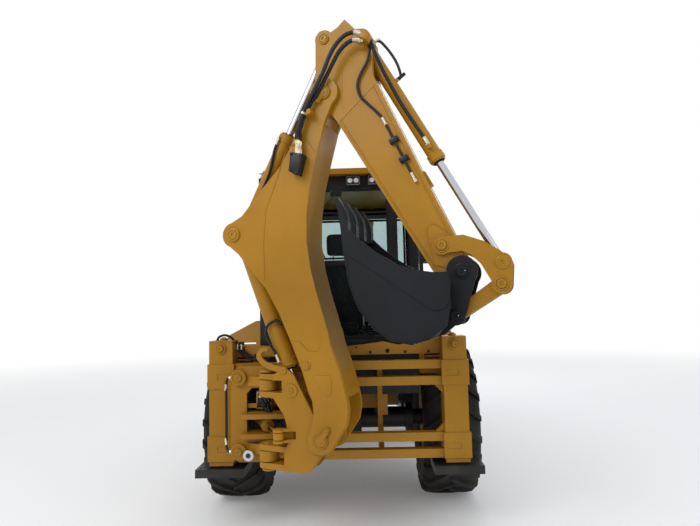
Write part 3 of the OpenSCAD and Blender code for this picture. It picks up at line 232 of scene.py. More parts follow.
def braidFinish(name):
    # spiral sleeve on the hoses, following each hose's own UV map
    mat, tree, shader = newMaterial(name)
    uv = tree.nodes.new("ShaderNodeUVMap")
    mapping = tree.nodes.new("ShaderNodeMapping")
    wave = tree.nodes.new("ShaderNodeTexWave")
    wave.wave_type = "BANDS"
    wave.bands_direction = "DIAGONAL"
    wave.inputs["Scale"].default_value = 22.0
    wave.inputs["Distortion"].default_value = 0.3
    tree.links.new(uv.outputs["UV"], mapping.inputs["Vector"])
    tree.links.new(mapping.outputs["Vector"], wave.inputs["Vector"])
    color = ramp(tree, wave.outputs["Fac"], ((0.3, (0.003, 0.0035, 0.005)), (0.8, (0.010, 0.011, 0.015))))
    tree.links.new(color, shader.inputs["Base Color"])
    shader.inputs["Roughness"].default_value = 0.42
    shader.inputs["Specular IOR Level"].default_value = 0.3
    bumpOn(tree, shader, wave.outputs["Fac"], 0.5, 0.0015)
    return mat


def glassFinish():
    mat, tree, shader = newMaterial("cabGlass")
    smear = spread(tree, noiseOn(tree, 6.0, 5.0, (1, 1, 0.4)), 0.35, 0.75, 0.02, 0.09)
    tree.links.new(smear, shader.inputs["Roughness"])
    tint = ramp(tree, noiseOn(tree, 3.0, 4.0), ((0.3, (0.55, 0.66, 0.66)), (0.7, (0.62, 0.72, 0.71))))
    tree.links.new(tint, shader.inputs["Base Color"])
    shader.inputs["Transmission Weight"].default_value = 1.0
    shader.inputs["IOR"].default_value = 1.08
    shader.inputs["Specular IOR Level"].default_value = 0.5
    return mat


def fabricFinish(name, tone):
    mat, tree, shader = newMaterial(name)
    coord = tree.nodes.new("ShaderNodeTexCoord")
    weave = tree.nodes.new("ShaderNodeTexBrick")
    weave.inputs["Scale"].default_value = 140.0
    weave.inputs["Mortar Size"].default_value = 0.03
    tree.links.new(coord.outputs["Object"], weave.inputs["Vector"])
    color = mixColors(tree, spread(tree, noiseOn(tree, 9.0, 5.0), 0.3, 0.7, 0.0, 1.0), tone,
                      tuple(1.5 * c for c in tone))
    tree.links.new(color, shader.inputs["Base Color"])
    shader.inputs["Roughness"].default_value = 0.85
    shader.inputs["Sheen Weight"].default_value = 0.3
    bumpOn(tree, shader, weave.outputs["Fac"], 0.35, 0.0008)
    return mat


def lensFinish(name, tone, glow):
    mat, tree, shader = newMaterial(name)
    cells = tree.nodes.new("ShaderNodeTexVoronoi")
    cells.inputs["Scale"].default_value = 60.0
    coord = tree.nodes.new("ShaderNodeTexCoord")
    tree.links.new(coord.outputs["Object"], cells.inputs["Vector"])
    color = ramp(tree, cells.outputs["Distance"], ((0.0, tone), (0.8, tuple(0.6 * c for c in tone))))
    tree.links.new(color, shader.inputs["Base Color"])
    shader.inputs["Roughness"].default_value = 0.12
    shader.inputs["Coat Weight"].default_value = 0.6
    # painted light: each lens glows faintly in its own tone, though no lamp is lit behind it
    shader.inputs["Emission Color"].default_value = (*tone, 1)
    shader.inputs["Emission Strength"].default_value = glow
    bumpOn(tree, shader, cells.outputs["Distance"], 0.3, 0.001)
    return mat


mats = {name: paintFinish(name) for name in finishes}
mats["chrome"] = metalFinish("chrome", (0.52, 0.54, 0.58), 0.10, 0.10, 0.05)
mats["steel"] = metalFinish("steel", (0.42, 0.41, 0.40), 0.28, 0.22, 0.5)
mats["zinc"] = metalFinish("zinc", (0.55, 0.50, 0.38), 0.30, 0.2, 0.25)
mats["tyreRubber"] = rubberFinish("tyreRubber", 0.22)
mats["softRubber"] = rubberFinish("softRubber", 0.1)
mats["hoseSleeve"] = braidFinish("hoseSleeve")
mats["cabGlass"] = glassFinish()
mats["seatCloth"] = fabricFinish("seatCloth", (0.012, 0.012, 0.014))
mats["clearLens"] = lensFinish("clearLens", (0.75, 0.76, 0.78), 0.12)
mats["redLens"] = lensFinish("redLens", (0.45, 0.012, 0.010), 0.05)
mats["amberLens"] = lensFinish("amberLens", (0.80, 0.22, 0.01), 0.05)
print("finishes made:", len(mats))


# Builders
def toObject(name, bm, mat, body, smooth=True):
    mesh = bpy.data.meshes.new(name)
    bm.normal_update()
    bm.to_mesh(mesh)
    bm.free()
    obj = bpy.data.objects.new(name, mesh)
    scene.collection.objects.link(obj)
    for m in (mat if isinstance(mat, (list, tuple)) else [mat]):
        mesh.materials.append(mats[m])
    mesh.polygons.foreach_set("use_smooth", [smooth] * len(mesh.polygons))
    if smooth:
        mesh.set_sharp_from_angle(angle=math.radians(38))
    if body:
        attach(obj, body)
    return obj


def axisFrame(origin, axis, up=None):
    z = Vector(axis).normalized()
    helper = Vector(up) if up else (Vector((0, 0, 1)) if abs(z.z) < 0.9 else Vector((1, 0, 0)))
    x = helper.cross(z).normalized()
    y = z.cross(x)
    m = Matrix((x, y, z)).transposed().to_4x4()
    m.translation = Vector(origin)
    return m


def lathe(bm, matrix, profile, segments=32, slot=0, closed=False):
    # profile: [radius, height] pairs turned about the matrix's z
    rings = []
    for r, h in profile:
        if r < 1e-6:
            rings.append([bm.verts.new(matrix @ Vector((0, 0, h)))])
        else:
            rings.append([bm.verts.new(matrix @ Vector((r * math.cos(2 * math.pi * i / segments),
                                                        r * math.sin(2 * math.pi * i / segments), h)))
                          for i in range(segments)])
    pairs = list(zip(rings, rings[1:])) + ([(rings[-1], rings[0])] if closed else [])
    for a, b in pairs:
        for i in range(segments):
            j = (i + 1) % segments
            corners = [a[i % len(a)], a[j % len(a)], b[j % len(b)], b[i % len(b)]]
            unique = []
            for v in corners:
                if v not in unique:
                    unique.append(v)
            if len(unique) > 2:
                bm.faces.new(unique).material_index = slot


def roundBox(bm, matrix, size, radius=0.004, slot=0):
    # box with bevelled edges, centred on the matrix
    made = bmesh.ops.create_cube(bm, size=1.0, matrix=matrix @ Matrix.Diagonal((*size, 1)))
    edges = list({e for v in made["verts"] for e in v.link_edges})
    cut = bmesh.ops.bevel(bm, geom=edges, offset=min(radius, 0.45 * min(size)), segments=2, profile=0.5,
                          affect="EDGES")
    faces = {f for v in made["verts"] if v.is_valid for f in v.link_faces} | set(cut["faces"])
    for f in faces:
        f.material_index = slot


def prism(bm, matrix, outline, low, high, bevel=0.0):
    # outline in the matrix's x, y; extruded along z
    bottom = [bm.verts.new(matrix @ Vector((x, y, low))) for x, y in outline]
    top = [bm.verts.new(matrix @ Vector((x, y, high))) for x, y in outline]
    faces = [bm.faces.new(list(reversed(bottom))), bm.faces.new(top)]
    count = len(outline)
    for i in range(count):
        faces.append(bm.faces.new((bottom[i], bottom[(i + 1) % count], top[(i + 1) % count], top[i])))
    if bevel:
        edges = list({e for f in faces for e in f.edges})
        bmesh.ops.bevel(bm, geom=edges, offset=bevel, segments=2, profile=0.5, affect="EDGES")


def smoothPath(points, step=0.02):
    # Catmull-Rom through the points, walked at even steps
    p = [Vector(q) for q in points]
    p = [2 * p[0] - p[1]] + p + [2 * p[-1] - p[-2]]
    fine = []
    for i in range(1, len(p) - 2):
        for k in range(24):
            t = k / 24
            a, b, c, d = p[i - 1], p[i], p[i + 1], p[i + 2]
            fine.append(0.5 * ((2 * b) + (c - a) * t + (2 * a - 5 * b + 4 * c - d) * t * t
                               + (3 * b - a - 3 * c + d) * t ** 3))
    fine.append(p[-2])
    total = sum((b - a).length for a, b in zip(fine, fine[1:]))
    count = max(2, int(total / step))
    out, travelled, want = [fine[0]], 0.0, total / count
    for a, b in zip(fine, fine[1:]):
        span = (b - a).length
        while span > 0 and travelled + span >= want - 1e-9 and len(out) < count:
            t = (want - travelled) / span
            out.append(a.lerp(b, t))
            a, span, travelled, want = out[-1], (b - out[-1]).length, want, want + total / count
        travelled += span
    out.append(fine[-1])
    return out


def tube(bm, points, radius, sides=12, step=0.02, slot=0, rib=0.0):
    # rib makes every second ring that share narrower, like a spiral guard
    path = smoothPath(points, step)
    uv = bm.loops.layers.uv.verify()
    normal = None
    rings, lengths, run = [], [], 0.0
    for i, p in enumerate(path):
        forward = (path[min(i + 1, len(path) - 1)] - path[max(i - 1, 0)]).normalized()
        if normal is None:
            normal = forward.orthogonal().normalized()
        normal = (normal - forward * normal.dot(forward)).normalized()
        side = forward.cross(normal)
        if i:
            run += (p - path[i - 1]).length
        lengths.append(run)
        r = radius * (1 - rib * (i % 2))
        rings.append([])
        for k in range(sides):
            a = 2 * math.pi * k / sides
            rings[-1].append(bm.verts.new(p + r * (math.cos(a) * normal + math.sin(a) * side)))
    for i in range(len(rings) - 1):
        for k in range(sides):
            n = (k + 1) % sides
            face = bm.faces.new((rings[i][k], rings[i][n], rings[i + 1][n], rings[i + 1][k]))
            face.material_index = slot
            for loop, (u, v) in zip(face.loops, ((k, i), (k + 1, i), (k + 1, i + 1), (k, i + 1))):
                loop[uv].uv = (u / sides * 0.25, lengths[v])
    for ring, flip in ((rings[0], True), (rings[-1], False)):
        face = bm.faces.new(list(reversed(ring)) if flip else ring)
        face.material_index = slot
    return path


# Finishes on the solids
nodeFinish = {
    "yellowPaint": ["chassis", "cowl", "hood", "cab_roof", "fenders", "rear_frame", "carriage", "kingpost",
                    "swing_barrel_left", "swing_barrel_right", "boom", "dipper", "bucket_lever",
                    "bucket_link", "boom_barrel", "dipper_barrel", "bucket_barrel", "loader_arms",
                    "lift_barrels", "tilt_levers", "tilt_barrels", "tilt_links"],
    "blackPaint": ["nose", "cab_frame", "door_left", "door_right", "side_tanks", "rear_axle", "front_axle",
                   "knuckle_left", "knuckle_right", "stabiliser_left", "stabiliser_right"],
    "bucketBlack": ["digging_bucket", "loader_bucket"],
    "castIron": ["engine_block"],
    "plastic": ["seat", "controls"],
    "chrome": ["lift_rods", "tilt_rods", "swing_rod_left", "swing_rod_right", "boom_rod", "dipper_rod",
               "bucket_rod"],
    "cabGlass": ["cab_glass"],
    "hoseSleeve": ["boom_hoses", "dipper_hoses", "bucket_ram_hoses", "boom_ram_hose", "dipper_ram_hose",
                   "carriage_hose"],
    "tyreRubber": ["wheel_rear_left", "wheel_rear_right", "wheel_front_left", "wheel_front_right"],
}
for look, names in nodeFinish.items():
    for name in names:
        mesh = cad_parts[name].data
        mesh.materials.clear()
        mesh.materials.append(mats[look])
print("solids finished")


# Bolt heads with washers, set by Geometry Nodes on marked points
boltSizes = {"sides": 6, "head": 0.011, "tall": 0.008, "washer": 1.45, "washerTall": 0.003}


def boltTree():
    tree = bpy.data.node_groups.new("boltHeads", "GeometryNodeTree")
    sockets = {}
    tree.interface.new_socket("Points", in_out="INPUT", socket_type="NodeSocketGeometry")
    for name in ("Head radius", "Head height", "Washer ratio", "Washer height"):
        sockets[name] = tree.interface.new_socket(name, in_out="INPUT",
                                                  socket_type="NodeSocketFloat").identifier
    sockets["Metal"] = tree.interface.new_socket("Metal", in_out="INPUT",
                                                 socket_type="NodeSocketMaterial").identifier
    tree.interface.new_socket("Bolts", in_out="OUTPUT", socket_type="NodeSocketGeometry")
    add, link = tree.nodes.new, tree.links.new
    start, end = add("NodeGroupInput"), add("NodeGroupOutput")

    def rod(sides, radius, height, lift):
        mesh = add("GeometryNodeMeshCylinder")
        mesh.inputs["Vertices"].default_value = sides
        link(radius, mesh.inputs["Radius"])
        link(height, mesh.inputs["Depth"])
        shift = add("ShaderNodeCombineXYZ")
        link(lift, shift.inputs["Z"])
        move = add("GeometryNodeTransform")
        link(mesh.outputs["Mesh"], move.inputs["Geometry"])
        link(shift.outputs[0], move.inputs["Translation"])
        return move.outputs["Geometry"]

    def math2(kind, a, b):
        node = add("ShaderNodeMath")
        node.operation = kind
        for socket, value in zip(node.inputs, (a, b)):
            if isinstance(value, (int, float)):
                socket.default_value = value
            else:
                link(value, socket)
        return node.outputs[0]

    head, tall = start.outputs["Head radius"], start.outputs["Head height"]
    wide = math2("MULTIPLY", head, start.outputs["Washer ratio"])
    flat = start.outputs["Washer height"]
    join = add("GeometryNodeJoinGeometry")
    link(rod(boltSizes["sides"], head, tall, math2("ADD", math2("MULTIPLY", tall, 0.5), flat)),
         join.inputs[0])
    link(rod(16, wide, flat, math2("MULTIPLY", flat, 0.5)), join.inputs[0])
    facing = add("GeometryNodeInputNamedAttribute")
    facing.data_type = "FLOAT_VECTOR"
    facing.inputs["Name"].default_value = "facing"
    size = add("GeometryNodeInputNamedAttribute")
    size.data_type = "FLOAT"
    size.inputs["Name"].default_value = "size"
    turn = add("FunctionNodeAlignRotationToVector")
    turn.axis = "Z"
    link(facing.outputs["Attribute"], turn.inputs["Vector"])
    spots = add("GeometryNodeInstanceOnPoints")
    link(start.outputs["Points"], spots.inputs["Points"])
    link(join.outputs[0], spots.inputs["Instance"])
    link(turn.outputs["Rotation"], spots.inputs["Rotation"])
    link(size.outputs["Attribute"], spots.inputs["Scale"])
    real = add("GeometryNodeRealizeInstances")
    link(spots.outputs[0], real.inputs[0])
    coat = add("GeometryNodeSetMaterial")
    link(real.outputs[0], coat.inputs["Geometry"])
    link(start.outputs["Metal"], coat.inputs["Material"])
    link(coat.outputs[0], end.inputs[0])
    return tree, sockets


boltNodes, boltSockets = boltTree()


def setBolts(name, spots, body, metal="zinc"):
    # spots: [place, facing, size] for each head
    mesh = bpy.data.meshes.new(name)
    mesh.from_pydata([tuple(s[0]) for s in spots], [], [])
    mesh.attributes.new("facing", "FLOAT_VECTOR", "POINT")
    mesh.attributes.new("size", "FLOAT", "POINT")
    for i, s in enumerate(spots):   # looked up by name, because a new layer moves the older ones
        mesh.attributes["facing"].data[i].vector = s[1]
        mesh.attributes["size"].data[i].value = s[2]
    obj = bpy.data.objects.new(name, mesh)
    scene.collection.objects.link(obj)
    mod = obj.modifiers.new("bolts", "NODES")
    mod.node_group = boltNodes
    mod[boltSockets["Head radius"]] = boltSizes["head"]
    mod[boltSockets["Head height"]] = boltSizes["tall"]
    mod[boltSockets["Washer ratio"]] = boltSizes["washer"]
    mod[boltSockets["Washer height"]] = boltSizes["washerTall"]
    mod[boltSockets["Metal"]] = mats[metal]
    view = bpy.context.view_layer
    view.update()
    plain = bpy.data.meshes.new_from_object(obj.evaluated_get(bpy.context.evaluated_depsgraph_get()))
    obj.modifiers.remove(mod)
    obj.data = plain
    plain.name = name
    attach(obj, body)
    return obj


# Wheels: carcass, swept lugs, dished rim, hub and nuts
rearWheel = {"x": 0.905, "y": 1.0, "r": 0.655, "width": 0.470, "rim": 0.320, "lugs": 22, "lugTall": 0.030,
             "lugThick": 0.052, "sweep": 0.30, "hub": 0.135, "dish": 0.035, "nuts": 8, "circle": 0.10}
frontWheel = {"x": 0.905, "y": 3.2, "r": 0.490, "width": 0.298, "rim": 0.240, "lugs": 20, "lugTall": 0.022,
              "lugThick": 0.038, "sweep": 0.30, "hub": 0.09, "dish": 0.020, "nuts": 8, "circle": 0.068}


def buildWheel(name, spec, side, body):
    bm = bmesh.new()
    m = axisFrame(place(side * spec["x"], spec["y"], spec["r"]), (side, 0, 0))
    r, h, rim = spec["r"] - spec["lugTall"], spec["width"] / 2, spec["rim"]
    carcass = [(rim + 0.004, -h * 0.74), (rim + 0.018, -h * 0.80), (rim + 0.040, -h * 0.88),
               (r - 0.13, -h * 0.985), (r - 0.095, -h), (r - 0.055, -h * 0.975), (r - 0.025, -h * 0.90),
               (r - 0.008, -h * 0.78), (r, -h * 0.5), (r + 0.004, 0), (r, h * 0.5), (r - 0.008, h * 0.78),
               (r - 0.025, h * 0.90), (r - 0.055, h * 0.975), (r - 0.095, h), (r - 0.13, h * 0.985),
               (rim + 0.040, h * 0.88), (rim + 0.036, h * 0.85), (rim + 0.018, h * 0.80),
               (rim + 0.004, h * 0.74)]
    lathe(bm, m, carcass, 72)
    # lugs run from the middle to the shoulder and a little down the side
    for i in range(spec["lugs"]):
        for way in (-1, 1):
            base = 2 * math.pi * (i + (0.5 if way > 0 else 0.0)) / spec["lugs"]
            rings = []
            for t, drop, sink in ((-0.06, 0.0, 0.012), (0.10, 0.0, 0.012), (0.35, 0.001, 0.012),
                                  (0.62, 0.004, 0.012), (0.84, 0.012, 0.018), (0.96, 0.034, 0.03),
                                  (1.015, 0.085, 0.045), (0.985, 0.14, 0.03)):
                angle = base + spec["sweep"] * min(1.0, max(0.0, t)) ** 0.85
                z = way * h * t
                wide = spec["lugThick"] / r * (0.85 + 0.25 * max(0.0, t))
                top = spec["r"] - drop
                low = top - spec["lugTall"] - sink
                tip, foot = wide * 0.40, wide * 0.52
                under = z if t < 0.9 else z * 0.93
                ring = []
                for q, a, out in ((low, -foot, under), (top, -tip, z), (top, tip, z), (low, foot, under)):
                    spot = m @ Vector((q * math.cos(angle + a), q * math.sin(angle + a), out))
                    ring.append(bm.verts.new(spot))
                rings.append(ring)
            for a, b in zip(rings, rings[1:]):
                for k in range(4):
                    bm.faces.new((a[k], a[(k + 1) % 4], b[(k + 1) % 4], b[k]))
            bm.faces.new(rings[0])
            bm.faces.new(list(reversed(rings[-1])))
    # rim and dish
    d = spec["dish"]
    lathe(bm, m, [(rim + 0.020, -h * 0.80), (rim + 0.020, -h * 0.76), (rim + 0.004, -h * 0.70),
                  (rim - 0.030, -h * 0.55), (rim - 0.030, h * 0.50), (rim + 0.004, h * 0.70),
                  (rim + 0.020, h * 0.76), (rim + 0.020, h * 0.80), (rim + 0.006, h * 0.79),
                  (rim - 0.006, h * 0.70), (rim - 0.042, h * 0.50), (rim - 0.046, d + 0.03),
                  (rim - 0.07, d + 0.012), (spec["hub"] + 0.07, d + 0.004), (spec["hub"] + 0.03, d - 0.004),
                  (spec["hub"], d - 0.004), (spec["hub"], d - 0.012), (rim - 0.045, d - 0.012),
                  (rim - 0.045, -h * 0.60), (rim - 0.006, -h * 0.76)], 64, 1, closed=True)
    lathe(bm, m, [(0, d + 0.070), (spec["hub"] * 0.45, d + 0.068), (spec["hub"] * 0.52, d + 0.058),
                  (spec["hub"] * 0.55, d + 0.02), (spec["hub"] * 0.98, d + 0.012),
                  (spec["hub"] * 1.04, d + 0.004), (spec["hub"] * 1.04, d - 0.008), (0, d - 0.008)], 40, 2)
    for i in range(spec["nuts"]):
        a = 2 * math.pi * i / spec["nuts"]
        spot = m @ Vector((spec["circle"] * math.cos(a), spec["circle"] * math.sin(a), d + 0.008))
        nut = axisFrame(spot, (side, 0, 0))
        lathe(bm, nut, [(0.020, 0), (0.020, 0.004), (0.0145, 0.005), (0.0145, 0.022), (0.012, 0.025),
                        (0.008, 0.025), (0.008, 0.034), (0, 0.034)], 6, 3)
    bmesh.ops.remove_doubles(bm, verts=bm.verts, dist=0.00002)
    bmesh.ops.recalc_face_normals(bm, faces=bm.faces)
    wheel = toObject(name, bm, ["tyreRubber", "yellowRim", "yellowRim", "zinc"], body)
    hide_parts(body)
    return wheel


for side, word in ((-1, "left"), (1, "right")):
    buildWheel("rearWheel_" + word, rearWheel, side, "wheel_rear_" + word)
    buildWheel("frontWheel_" + word, frontWheel, side, "wheel_front_" + word)
print("wheels built")


# Arm details are drawn flat as [distance from the swing axis, height] and stand out from the near side
along = Vector((math.cos(armTurn), -math.sin(armTurn), 0))
outward = Vector((-math.sin(armTurn), -math.cos(armTurn), 0))
armMatrix = Matrix((along, Vector((0, 0, 1)), outward)).transposed().to_4x4()
armMatrix.translation = armPoint(0, 0, 0)
farMatrix = Matrix((along, Vector((0, 0, 1)), -outward)).transposed().to_4x4()
farMatrix.translation = armPoint(0, 0, 0)


def pinFrame(p, near=True):
    facing = outward if near else -outward
    return axisFrame(armPoint(p[0], 0, p[1]), facing, (0, 0, 1))


def finish(name, bm, mat, body, smooth=True):
    bmesh.ops.recalc_face_normals(bm, faces=bm.faces)
    return toObject(name, bm, mat, body, smooth)


# Pin ends: a flange against the plate, a socket in the middle and a grease nipple beside it
pinEnds = [
    {"name": "tipPin", "at": (0.504, 3.113), "body": "boom", "face": 0.160, "end": 0.162, "r": 0.036,
     "flange": 0.049},
    {"name": "footPin", "at": (0.443, 0.796), "body": "boom", "face": 0.162, "end": 0.164, "r": 0.038,
     "flange": 0.049},
    {"name": "humpPin", "at": (-0.183, 2.179), "body": "boom", "face": 0.160, "end": 0.162, "r": 0.030,
     "flange": 0.047},
    {"name": "headPin", "at": (0.500, 3.506), "body": "dipper", "face": 0.113, "end": 0.113, "r": 0.026,
     "flange": 0.037},
    {"name": "ramHeadPin", "at": (0.765, 3.470), "body": "dipper", "face": 0.108, "end": 0.113, "r": 0.028,
     "flange": 0.044},
    {"name": "leverPin", "at": (1.266, 2.027), "body": "dipper", "face": 0.1412, "end": 0.150, "r": 0.032,
     "flange": 0.046},
    {"name": "bucketPin", "at": (1.384, 1.861), "body": "dipper", "face": 0.1432, "end": 0.150, "r": 0.034,
     "flange": 0.050, "paint": "bucketBlack"},
    {"name": "linkPin", "at": (1.618, 1.776), "body": "bucket_link", "face": 0.1412, "end": 0.148, "r": 0.030,
     "flange": 0.044},
    {"name": "earPin", "at": (1.335, 1.588), "body": "digging_bucket", "face": 0.143, "end": 0.152,
     "r": 0.030, "flange": 0.041, "paint": "bucketBlack"},
]
rodPin = {"at": (1.628, 1.905), "r": 0.027, "end": 0.148, "flange": 0.044}   # bucket rod to lever


def buildPinEnds():
    for spec in pinEnds:
        bm = bmesh.new()
        face, end, r, flange = spec["face"], spec["end"], spec["r"], spec["flange"]
        for near in (True, False):
            m = pinFrame(spec["at"], near)
            lathe(bm, m, [(flange, face - 0.002), (flange, face + 0.0035), (flange - 0.002, face + 0.005),
                          (r + 0.003, face + 0.005), (r + 0.002, face + 0.001), (r + 0.0006, face + 0.001)],
                          36, 0)
            top = end + 0.006
            lathe(bm, m, [(r + 0.0006, face - 0.002), (r + 0.0006, top - 0.002), (r - 0.0015, top),
                          (0.013, top), (0.0115, end + 0.001), (0, end + 0.001)], 36, 0)
            nipple = m @ Matrix.Translation((r * 0.62, 0, top))
            lathe(bm, nipple, [(0.004, -0.001), (0.004, 0.003), (0.0025, 0.005), (0.003, 0.008), (0, 0.009)],
                  8, 1)
        finish(spec["name"], bm, [spec.get("paint", "yellowPaint"), "zinc"], spec["body"])
    bm = bmesh.new()
    for near in (True, False):
        m = pinFrame(rodPin["at"], near)
        r, end, flange = rodPin["r"], rodPin["end"], rodPin["flange"]
        lathe(bm, m, [(r, 0.0), (r, end - 0.002), (r - 0.002, end), (0.012, end), (0.011, end - 0.005),
                      (0, end - 0.005)], 32)
        lathe(bm, m, [(flange, end - 0.009), (flange, end - 0.0035), (flange - 0.002, end - 0.002),
                      (r, end - 0.002)], 32)
    finish("rodPin", bm, ["yellowPaint"], "bucket_lever")


buildPinEnds()

# Keeper flags that stop the pins turning, each with one bolt
keepers = [
    {"name": "footKeeper", "body": "boom", "foot": 0.154, "out": 0.167,
     "line": ((0.443, 0.800), (0.494, 0.868)), "wide": (0.020, 0.016)},
    {"name": "tipKeeper", "body": "boom", "foot": 0.149, "out": 0.165,
     "line": ((0.504, 3.113), (0.470, 3.050)), "wide": (0.018, 0.014)},
]


def capsule(p, q, rp, rq):
    # outline of two round ends joined by their tangents
    steps = 10
    a = math.atan2(q[1] - p[1], q[0] - p[0])
    ring = []
    for centre, r, start in ((q, rq, a - math.pi / 2), (p, rp, a + math.pi / 2)):
        for k in range(steps + 1):
            t = start + math.pi * k / steps
            ring.append((centre[0] + r * math.cos(t), centre[1] + r * math.sin(t)))
    return ring


def buildKeepers():
    for spec in keepers:
        bm = bmesh.new()
        for m in (armMatrix, farMatrix):
            prism(bm, m, capsule(*spec["line"], *spec["wide"]), spec["out"], spec["out"] + 0.008, 0.0012)
            foot = m @ Matrix.Translation((*spec["line"][1], 0))
            lathe(bm, foot, [(0.012, spec["foot"]), (0.012, spec["out"])], 16)
        finish(spec["name"], bm, ["yellowPaint"], spec["body"])
        end = spec["line"][1]
        spots = [[armPoint(end[0], -spec["out"] - 0.008, end[1]), outward, 0.9],
                 [armPoint(end[0], spec["out"] + 0.008, end[1]), -outward, 0.9]]
        setBolts(spec["name"] + "Bolts", spots, spec["body"], "yellowPaint")


buildKeepers()
print("pins set")

# Weld beads: thin rippled tubes along the seams that show
beads = {"r": 0.0035, "pitch": 0.006, "neck": 0.82}


def bead(bm, points):
    # a tube whose radius swells at every pass of the torch
    path = smoothPath(points, beads["pitch"])
    normal = None
    rings = []
    for i, p in enumerate(path):
        forward = (path[min(i + 1, len(path) - 1)] - path[max(i - 1, 0)]).normalized()
        if normal is None:
            normal = forward.orthogonal().normalized()
        else:
            normal = (normal - forward * normal.dot(forward)).normalized()
        side = forward.cross(normal)
        r = beads["r"] * (1.0 if i % 2 else beads["neck"])
        turns = [math.pi / 3 * k for k in range(6)]
        rings.append([bm.verts.new(p + r * (math.cos(a) * normal + math.sin(a) * side)) for a in turns])
    for a, b in zip(rings, rings[1:]):
        for k in range(6):
            bm.faces.new((a[k], a[(k + 1) % 6], b[(k + 1) % 6], b[k]))
    bm.faces.new(list(reversed(rings[0])))
    bm.faces.new(rings[-1])


def straightRun(corners, closed=False):
    # keeps corners sharp by doubling them
    out = []
    pts = corners + ([corners[0]] if closed else [])
    for a, b in zip(pts, pts[1:]):
        a, b = Vector(a), Vector(b)
        gap = (b - a).length
        out += [a.lerp(b, 0.004 / gap), a.lerp(b, 0.5), a.lerp(b, 1 - 0.004 / gap)]
    return [tuple(v) for v in out]


weldLines = {
    "boom": [
        (0.1505, [(0.246, 1.440), (0.305, 1.430), (0.363, 1.369), (0.435, 1.369), (0.449, 1.388),
                  (0.469, 1.500), (0.483, 1.512), (0.502, 1.508), (0.520, 1.412)]),
        (0.1505, [(0.365, 1.085), (0.319, 1.248), (0.246, 1.440)]),
        (0.1505, [(0.242, 2.759), (0.375, 2.810), (0.440, 2.700)]),
        (0.1505, [(0.052, 1.850), (0.046, 2.111), (0.066, 2.338), (0.138, 2.507), (0.191, 2.655),
                  (0.235, 2.752)]),
    ],
    "dipper": [
        (0.1055, [(0.614, 2.918), (1.244, 1.846)]),
        (0.1055, [(0.842, 3.125), (1.317, 2.077)]),
        (0.1055, [(0.647, 3.556), (0.633, 3.425), (0.626, 2.950)]),
        (0.1055, [(0.658, 3.548), (0.797, 3.332), (0.842, 3.140)]),
        (0.1125, [(1.180, 2.070), (1.175, 2.128), (1.184, 2.158), (1.218, 2.168), (1.335, 2.082)]),
    ],
    "digging_bucket": [
        (0.3025, [(0.672, 2.020), (0.695, 1.984), (0.964, 1.806), (1.227, 1.623), (1.262, 1.622),
                  (1.300, 1.640), (1.326, 1.680)]),
        (0.3025, [(0.690, 1.960), (0.706, 1.800), (0.768, 1.645), (0.856, 1.528), (0.964, 1.449),
                  (1.080, 1.429), (1.196, 1.458)]),
    ],
}


def buildWelds():
    for body, lines in weldLines.items():
        bm = bmesh.new()
        for out, corners in lines:
            for side in (-1, 1):
                bead(bm, straightRun([armPoint(s, side * out, z) for s, z in corners]))
        finish(body + "Welds", bm, ["bucketBlack" if body == "digging_bucket" else "yellowPaint"], body)


buildWelds()
print("welds laid")

# Raised triangle and boss rings on the boom's foot plates
footPlate = {"corners": [(0.417, 1.214), (0.510, 1.215), (0.522, 1.196), (0.520, 1.095), (0.494, 1.075),
                         (0.465, 1.094), (0.404, 1.186), (0.404, 1.206)], "tall": 0.004}


def buildFootPlate():
    bm = bmesh.new()
    for m in (armMatrix, farMatrix):
        prism(bm, m, footPlate["corners"], 0.154, 0.155 + footPlate["tall"], 0.0015)
        boss = m @ Matrix.Translation((0.350, 1.276, 0))
        lathe(bm, boss, [(0.030, 0.153), (0.030, 0.160), (0.028, 0.162), (0.0205, 0.162)], 32)
        lathe(bm, boss, [(0.0205, 0.164), (0.0205, 0.1675), (0.018, 0.169), (0.010, 0.169), (0.009, 0.1665),
                         (0, 0.1665)], 28, 1)
    finish("footPlate", bm, ["yellowPaint", "yellowPaint"], "boom")


buildFootPlate()

